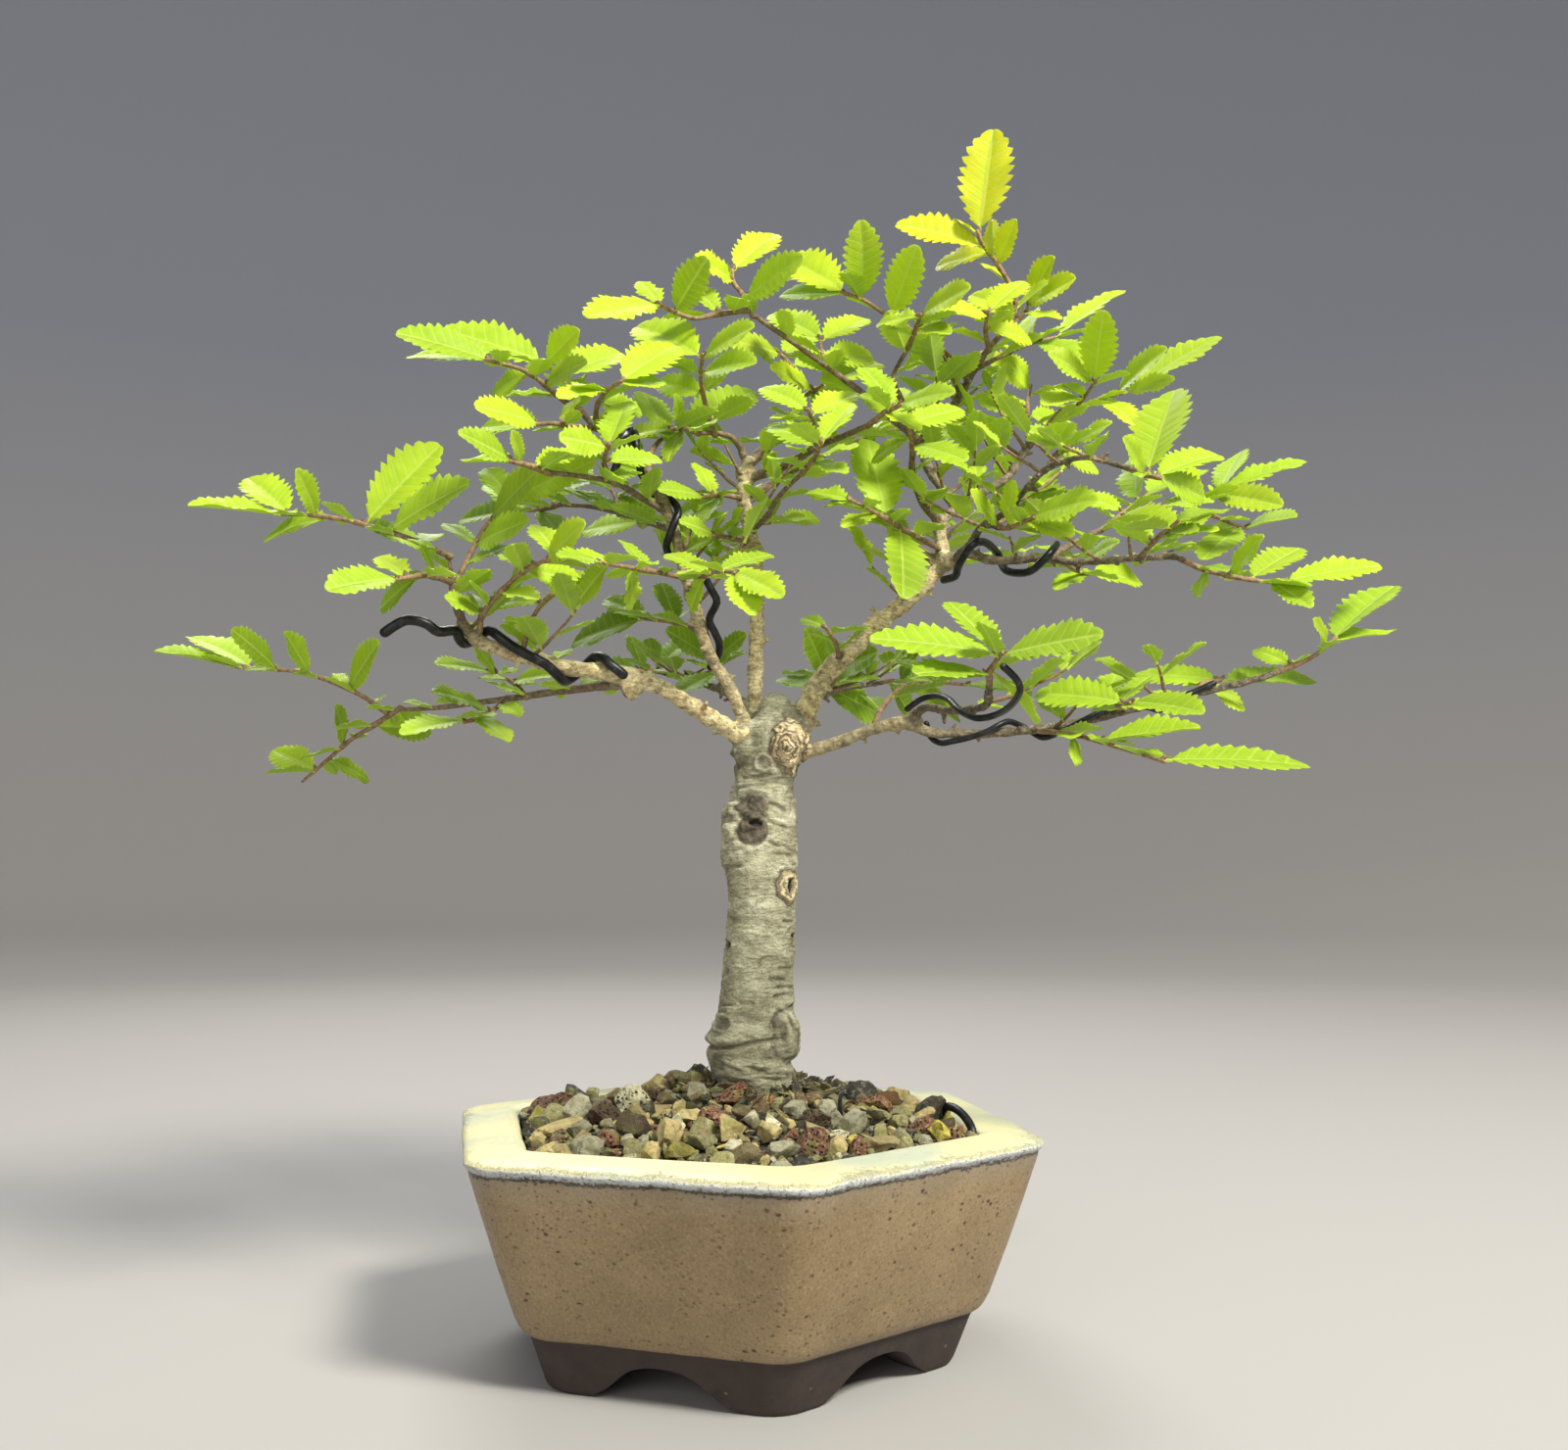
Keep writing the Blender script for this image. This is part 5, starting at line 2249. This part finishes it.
def ring_stack(rings, rounding, segments=8, fill=5):
    """A closed stack of rounded hexagons, its sides cut into this many lengths."""
    points = []
    for height, radius in rings:
        ring = hexagon_ring(height, radius, rounding, segments)
        for index, point in enumerate(ring):
            points.append(point)
            if index % (segments + 1) == segments:
                after = ring[(index + 1) % len(ring)]
                for step in range(1, fill):
                    points.append(tuple(a + (b - a) * (step / fill) for a, b in zip(point, after)))
    return np.array(points), tube_faces(len(rings), len(points) // len(rings))


def solid(name, vertices, faces):
    """A closed object whose faces all look outwards."""
    mesh = bpy.data.meshes.new(name)
    mesh.from_pydata(np.asarray(vertices) * MM, [], faces)
    shape = bmesh.new()
    shape.from_mesh(mesh)
    bmesh.ops.recalc_face_normals(shape, faces=shape.faces)
    shape.to_mesh(mesh)
    shape.free()
    return into_scene(name, mesh)


EDGE_SOFTNESS = 0.7


def cut_away(thing, cutters):
    """Takes the cutters out of an object in one Boolean, softens its edges and removes the cutters."""
    group = bpy.data.collections.new("cutters")
    bpy.context.scene.collection.children.link(group)
    for cutter in cutters:
        bpy.context.scene.collection.objects.unlink(cutter)
        group.objects.link(cutter)
    modifier = thing.modifiers.new("Cut", "BOOLEAN")
    modifier.operation = "DIFFERENCE"
    modifier.solver = "EXACT"
    modifier.operand_type = "COLLECTION"
    modifier.collection = group
    bevel = thing.modifiers.new("Soft", "BEVEL")
    bevel.width = EDGE_SOFTNESS * MM
    bevel.segments = 3
    bevel.angle_limit = math.radians(50)
    mesh = finished_mesh(thing)
    thing.modifiers.clear()
    thing.data = mesh
    for cutter in list(group.objects):
        bpy.data.objects.remove(cutter)
    bpy.data.collections.remove(group)


def dress_pot(material):
    """The glazed pot with its hollow, drain hole, recess, feet and slightly uneven faces."""
    pot = solid("stoneware_pot", *ring_stack(POT_SKIN, SKIN_CORNER_ROUNDING, *POT_STEPS))
    recess = ((-CUT_PAST, POT_RECESS_RADIUS), (POT_RECESS_HEIGHT, POT_RECESS_RADIUS - 1.0))
    drain = [(Vector((0, 0, height)), DRAIN_RADIUS) for height in DRAIN_HEIGHTS]
    cutters = [
        solid("inside", *ring_stack(POT_HOLLOW, POT_CORNER_ROUNDING, *POT_STEPS)),
        solid("recess", *ring_stack(recess, POT_RECESS_ROUNDING, 4, 1)),
        solid("drain", *tube(drain, 32, False)),
    ]
    cutters += [arch_cutter(POT_TURN + math.radians(60 * side)) for side in range(6)]
    cut_away(pot, cutters)
    points = vertex_rows(pot.data.vertices, "co") / MM
    normals = vertex_rows(pot.data.vertex_normals, "vector")
    high = smoothstep(30.0, 40.0, points[:, 2])
    glazed = smoothstep(6.0, 14.0, points[:, 2])
    wave = high * POT_WAVE * noise(points, 13.0, 21) + glazed * CLAY_WAVE * noise(points, 9.0, 22)
    move_points(pot.data, points + normals * wave[:, None])
    paint_over(pot.data, material)
    pot.data.set_sharp_from_angle(angle=math.radians(40))
    keep(pot, "speckled_stoneware", "pot")


def arch_cutter(turn):
    """A bell-shaped tunnel between two feet."""
    direction = np.array((math.cos(turn), math.sin(turn), 0.0))
    across = np.array((-math.sin(turn), math.cos(turn), 0.0))
    outline = [(-wide, high) for wide, high in ARCH_OUTLINE] + list(reversed(ARCH_OUTLINE[:-1]))
    vertices = []
    for reach in ARCH_REACH:
        for wide, high in outline:
            vertices.append(direction * reach + across * wide + np.array((0.0, 0.0, high)))
    return solid("arch", vertices, tube_faces(2, len(outline)))


# Soil

# The mound of the stones, as rows of height and corner radius
GRIT_MOUND = ((40.4, 47.0), (41.6, 40.0), (43.8, 28.0), (46.0, 16.0), (46.9, 8.0))
# The largest and smallest radius of each size of stone, and how often one is tried
GRIT_RADII = ((4.2, 3.1, 260), (3.1, 2.2, 1200), (2.2, 1.4, 2400), (1.4, 0.9, 4000))
GRIT_SPACING = 0.74
GRIT_FIELD = 47.2
GRIT_CELL = 9.0
FILL_STEP = 2.1
DEBRIS_COUNT = 150
TRUNK_ROOM = 8.6
FINE_BALL_FROM = 2.7
# Stones that stand out in the photo: place, radius, share of it in width and height, and kind
PLACED_STONES = (
    (-0.4, -27.2, 3.5, 0.8, 0.6, "tan"), (5.9, -29.0, 3.6, 0.7, 0.5, "tan"),
    (-11.3, -28.0, 3.4, 0.9, 0.7, "tan"), (-30.0, -6.5, 3.6, 0.8, 0.8, "cream"),
    (-7.0, -9.6, 3.2, 0.9, 0.8, "cream"), (-22.6, 0.4, 4.4, 0.5, 0.5, "brown"),
    (-21.6, -28.2, 2.9, 0.9, 0.9, "lava"), (-17.6, -23.2, 3.2, 0.9, 0.9, "brown"),
    (14.4, -20.4, 2.9, 0.9, 0.9, "lava"), (14.2, -33.2, 3.0, 0.9, 0.9, "lava"),
    (21.8, -30.6, 2.5, 0.9, 0.9, "lava"), (30.4, 8.0, 3.2, 0.7, 0.7, "orange"),
    (36.4, -3.0, 3.5, 0.9, 1.0, "charcoal"), (37.4, -16.4, 2.5, 1.0, 0.8, "yellow"),
    (-9.4, -36.2, 2.9, 0.7, 0.6, "yellow"), (20.8, -20.0, 3.0, 0.9, 0.9, "grey"),
    (9.1, -36.6, 3.1, 0.8, 0.7, "grey"), (11.2, -14.6, 3.1, 0.8, 0.7, "grey"),
    (-31.6, -16.4, 4.4, 0.5, 0.45, "tan"), (-4.7, -32.6, 2.8, 0.9, 0.8, "olive"),
    (-35.4, 8.0, 3.0, 0.9, 0.9, "lava"), (-7.6, 9.4, 4.3, 0.9, 1.0, "charcoal"),
    (2.6, -38.8, 3.2, 0.7, 0.5, "tan"), (27.0, -3.6, 3.0, 0.8, 0.7, "lava"),
    (-27.4, -20.6, 2.7, 0.9, 0.8, "grey"), (-36.6, -10.4, 3.1, 0.6, 0.8, "charcoal"),
)


def mound_height(x, y):
    """The height of the stones' mound over this place."""
    distance = math.hypot(x, y) / hexagon_reach(math.atan2(y, x))
    for (low, far), (high, near) in zip(GRIT_MOUND, GRIT_MOUND[1:]):
        if distance >= near:
            share = min(1.0, (far - distance) / (far - near))
            return low + (high - low) * max(0.0, share)
    return GRIT_MOUND[-1][0]


def cell_of(x, y):
    return int(x // GRIT_CELL), int(y // GRIT_CELL)


def grit_spots(draw):
    """Where the stones lie and how large they are, the large ones first."""
    spots = []
    cells = {}
    for x, y, radius, *_ in PLACED_STONES:
        cells.setdefault(cell_of(x, y), []).append((x, y, radius * 0.9))
    for large, small, tries in GRIT_RADII:
        for _ in range(tries):
            radius = draw.uniform(small, large)
            x = draw.uniform(-GRIT_FIELD, GRIT_FIELD)
            y = draw.uniform(-GRIT_FIELD, GRIT_FIELD)
            limit = (GRIT_FIELD - 0.9 * radius) * hexagon_reach(math.atan2(y, x))
            if math.hypot(x, y) > limit or math.hypot(x - TRUNK[1][0], y) < TRUNK_ROOM + 0.4 * radius:
                continue
            if crowded(cells, x, y, radius):
                continue
            cells.setdefault(cell_of(x, y), []).append((x, y, radius))
            spots.append((x, y, radius))
    return spots


def crowded(cells, x, y, radius):
    """Whether a stone here would press into one that lies in its cell or in the ones round it."""
    column, row = cell_of(x, y)
    for i in (column - 1, column, column + 1):
        for j in (row - 1, row, row + 1):
            for a, b, other in cells.get((i, j), ()):
                if math.hypot(x - a, y - b) < GRIT_SPACING * (radius + other):
                    return True
    return False


def fill_spots(draw):
    """Small stones all over the mound, deeper than the others, so that no bare earth shows."""
    spots = []
    steps = int(2 * GRIT_FIELD / FILL_STEP)
    for row in range(steps):
        for column in range(steps):
            x = (row + draw.uniform(0.1, 0.9)) * FILL_STEP - GRIT_FIELD
            y = (column + draw.uniform(0.1, 0.9)) * FILL_STEP - GRIT_FIELD
            radius = draw.uniform(0.8, 1.35)
            limit = (GRIT_FIELD - radius) * hexagon_reach(math.atan2(y, x))
            if math.hypot(x, y) < limit and math.hypot(x - TRUNK[1][0], y) > TRUNK_ROOM - 0.6:
                spots.append((x, y, radius))
    return spots


def ball_mesh(subdivisions):
    """The points and faces of a ball of radius 1."""
    shape = bmesh.new()
    bmesh.ops.create_icosphere(shape, subdivisions=subdivisions, radius=1.0)
    vertices = np.array([tuple(vertex.co) for vertex in shape.verts])
    faces = [tuple(vertex.index for vertex in face.verts) for face in shape.faces]
    shape.free()
    return vertices, faces


def chipped(ball, draw, cuts):
    """The ball with flat chips struck off it and a rough face."""
    vertices = ball.copy()
    for _ in range(cuts):
        away = np.array([draw.gauss(0, 1) for _ in range(3)])
        away /= np.linalg.norm(away)
        past = np.clip(vertices @ away - draw.uniform(0.40, 0.78), 0.0, None)
        vertices -= past[:, None] * away
    seed = draw.randrange(1000)
    rough = 0.16 * noise(vertices, 0.55, seed) + 0.10 * noise(vertices, 0.26, seed + 1)
    return vertices * (1 + rough)[:, None]


def turned(vertices, draw, tilt):
    """The points turned at random about the vertical and leant by up to this tilt."""
    turn = Matrix.Rotation(draw.uniform(0, math.tau), 3, "Z")
    lean = Matrix.Rotation(draw.uniform(-tilt, tilt), 3, "X")
    roll = Matrix.Rotation(draw.uniform(-tilt, tilt), 3, "Y")
    return vertices @ np.array(turn @ lean @ roll).T


def add_stone(heap, ball, place, radius, shape, kind, tilt, draw, shade=0.0):
    """One chipped stone: its mesh's ball, place, radius, shares along its three axes and kind."""
    ball_vertices, faces = ball
    vertices = chipped(ball_vertices, draw, draw.randint(11, 16)) * np.array(shape) * radius * 1.22
    vertices = turned(vertices, draw, tilt)
    lava = kind_value("lava")
    heap.add(
        vertices + np.array(place), faces, 0, grit_kind=kind, grit_tone=max(shade, draw.random() ** 2.4),
        grit_pores=1.0 if abs(kind - lava) < 0.045 else 0.0,
    )


def dress_stones(grit):
    """The large and the small stones, each group one piece."""
    draw = random.Random("grit")
    balls = {level: ball_mesh(level) for level in (1, 2, 3)}
    values = ("grit_kind", "grit_tone", "grit_pores")
    large = Heap(values)
    small = Heap(values)
    for x, y, radius, wide, high, kind in PLACED_STONES:
        place = (x, y, mound_height(x, y) + 0.30 * radius)
        add_stone(large, balls[3], place, radius, (1.0, wide, high), kind_value(kind), 0.3, draw)
    for x, y, radius in grit_spots(draw):
        place = (x, y, mound_height(x, y) + draw.uniform(-0.20, 0.38) * radius)
        shape = (1.0, draw.uniform(0.58, 0.95), draw.uniform(0.42, 0.85))
        if radius > FINE_BALL_FROM:
            add_stone(large, balls[3], place, radius, shape, draw.random(), 0.6, draw)
        else:
            add_stone(small, balls[2], place, radius, shape, draw.random(), 0.6, draw)
    for x, y, radius in fill_spots(draw):
        place = (x, y, mound_height(x, y) - 0.75)
        add_stone(small, balls[1], place, radius, (1.0, 0.8, 0.7), draw.random(), 0.8, draw, 0.75)
    for _ in range(DEBRIS_COUNT):
        turn = draw.uniform(0, math.tau)
        reach = draw.uniform(TRUNK_ROOM - 0.4, TRUNK_ROOM + 9.0)
        x, y = TRUNK[1][0] + reach * math.cos(turn), reach * math.sin(turn)
        place = (x, y, mound_height(x, y) + draw.uniform(0.8, 2.4))
        kind = kind_value(draw.choice(("brown", "charcoal", "brown", "olive")))
        add_stone(small, balls[1], place, draw.uniform(1.2, 2.8), (1.0, 0.5, 0.16), kind, 1.2, draw)
    keep(large.object("large_stones", [grit], 14.0), "mixed_grit")
    keep(small.object("small_stones", [grit], 14.0), "mixed_grit")


def dress_soil(grit, earth):
    """Stones over a mound of dark fines."""
    dress_stones(grit)
    floor = POT_INSIDE[0]
    rings = [(floor[0] + TOUCH_GAP, floor[1] - 2 * TOUCH_GAP)]
    rings += [(height, radius - 1.4 * TOUCH_GAP) for height, radius in POT_INSIDE[1:3]]
    rings += [(height - 1.0, radius - 0.6) for height, radius in GRIT_MOUND]
    mound = solid("soil_mound", *ring_stack(rings, POT_CORNER_ROUNDING))
    paint_over(mound.data, earth)
    keep(mound, "mixed_grit", "soil")


# Wires: first the anchor wire's hidden run through the drain mesh and its loop that shows by the rim

ANCHOR_LINE = (
    (-16, 3, 37), (-13, 3, 33), (-8, 2, 24), (-5.4, 0, 16), (-5.4, 0, 8), (-4.4, 0, 5.2),
    (0, 0, 4.6), (4.4, 0, 5.2), (5.4, 0, 8), (5.4, 0, 16), (14, -1, 24), (30, -1.5, 32.5),
    (36, -0.8, 37), (38.2, -0.6, 40.6), (39.2, -1.8, 43.2), (39.9, -3.8, 44.4), (40.9, -6.4, 44.6),
    (42.2, -9.0, 43.9), (43.2, -11.2, 42.6), (43.7, -12.6, 41.0), (43.5, -13.2, 39.4), (43.0, -13.2, 38.2),
)
ANCHOR_RADIUS = 0.8
WIRE_END = (
    (19.4, -12.4, 44.5), (19.2, -12.3, 46.6), (19.6, -12.1, 47.9), (20.3, -12.0, 48.1), (20.7, -11.9, 47.4),
)
WIRE_END_RADIUS = 0.36


def dress_anchor(material):
    """The anchor wire, and the end of a thinner one that stands out of the grit."""
    heap = Heap()
    for points, radius, sides in ((ANCHOR_LINE, ANCHOR_RADIUS, 14), (WIRE_END, WIRE_END_RADIUS, 10)):
        heap.add(*tube(smooth_line([(Vector(point), radius) for point in points], 5), sides))
    keep(heap.object("anchor_loop", [material], 60.0), "black_wire", "anchor_wire")


def dress_wires(wires, material):
    """The training wires, rounder than their solids."""
    for name, line in wires.items():
        heap = Heap()
        heap.add(*tube(smooth_line(line, 3), 14))
        keep(heap.object("bent_" + name, [material], 60.0), "black_wire", name)


def repaint(node, material):
    """Gives a CAD node that stays in view its finish."""
    for slot in frame["nodes"][node].material_slots:
        slot.link = "OBJECT"
        slot.material = material


# Studio

# Lights: place and aim in metres, power, size and colour
LIGHTS = {
    "key": ((0.66, -0.72, 1.015), (0.0, 0.0, 0.13), 33.0, 0.32, (1.0, 0.96, 0.86)),
    "fill": ((-0.50, -1.55, 0.50), (0.0, 0.0, 0.12), 13.0, 1.10, (1.0, 0.97, 0.92)),
    "back": ((-0.20, 0.60, 0.75), (0.0, 0.0, 0.17), 4.5, 0.40, (1.0, 0.98, 0.93)),
}
SKY_COLOUR = (0.88, 0.91, 1.0, 1.0)
SKY_STRENGTH = 0.58
CAMERA_LENS = 35.5
CAMERA_SENSOR = 36.0
CAMERA_LIFT = 0.086


def area_light(name, place, aim, power, size, colour):
    """A square light that looks from its place at its aim."""
    light = bpy.data.lights.new(name, "AREA")
    light.energy = power
    light.size = size
    light.color = colour
    lamp = into_scene(name, light)
    lamp.location = place
    lamp.rotation_euler = (Vector(aim) - Vector(place)).to_track_quat("-Z", "Y").to_euler()


# The backdrop: how far out it is and how high, its thickness and the number of its sides
BACKDROP = (
    (0.0, 0.0), (500.0, 0.0), (1000.0, 0.0), (1300.0, 20.0), (1560.0, 90.0), (1790.0, 215.0),
    (1980.0, 395.0), (2120.0, 620.0), (2200.0, 880.0), (2230.0, 1200.0), (2230.0, 1700.0),
    (2230.0, 2300.0),
)
BACKDROP_THICKNESS = 60.0
BACKDROP_SIDES = 96


def backdrop():
    """A floor that sweeps up all round into a plain wall, as one closed shell."""
    angles = np.arange(BACKDROP_SIDES) * 2 * math.pi / BACKDROP_SIDES
    circle = np.stack((np.cos(angles), np.sin(angles), np.zeros(BACKDROP_SIDES)), axis=1)
    inner = [circle * max(reach, 1.0) + np.array((0, 0, height)) for reach, height in BACKDROP]
    outward = circle * BACKDROP_THICKNESS - np.array((0, 0, BACKDROP_THICKNESS))
    rings = inner + [ring + outward for ring in reversed(inner)]
    heap = Heap()
    heap.add(np.concatenate(rings), tube_faces(len(rings), BACKDROP_SIDES))
    floor = heap.object("floor", [floor_paint()], 80.0)


def studio():
    """A plain pale floor, soft light from above and the camera where the photo was taken."""
    backdrop()
    world = bpy.data.worlds.new("studio")
    world.use_nodes = True
    sky = world.node_tree.nodes["Background"]
    sky.inputs["Color"].default_value = SKY_COLOUR
    sky.inputs["Strength"].default_value = SKY_STRENGTH
    bpy.context.scene.world = world
    for name, light in LIGHTS.items():
        area_light(name, *light)
    camera = bpy.data.cameras.new("camera")
    camera.lens = CAMERA_LENS
    camera.sensor_width = CAMERA_SENSOR
    camera.clip_start = 0.01
    camera.clip_end = 20.0
    eye = into_scene("camera", camera)
    eye.location = EYE * MM
    eye.rotation_euler = (math.pi / 2 + CAMERA_LIFT, 0.0, 0.0)
    bpy.context.scene.camera = eye
    bpy.context.scene.view_settings.view_transform = "Standard"


def main():
    """Grows the twigs and leaves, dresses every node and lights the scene."""
    wires, sprigs = settle()
    wire = wire_paint()
    leafy = [leaf_paint(), twig_paint()]
    dress_wood(sprigs, wires, bark_paint())
    taken = taken_room(wires, sprigs)
    for name, sprig in sprigs.items():
        dress_sprig(name, sprig, taken, leafy)
    dress_shoots(taken, leafy)
    dress_pot(stoneware_paint())
    dress_soil(grit_paint(), earth_paint())
    dress_wires(wires, wire)
    dress_anchor(wire)
    repaint("drain_mesh", net_paint())
    studio()


main()
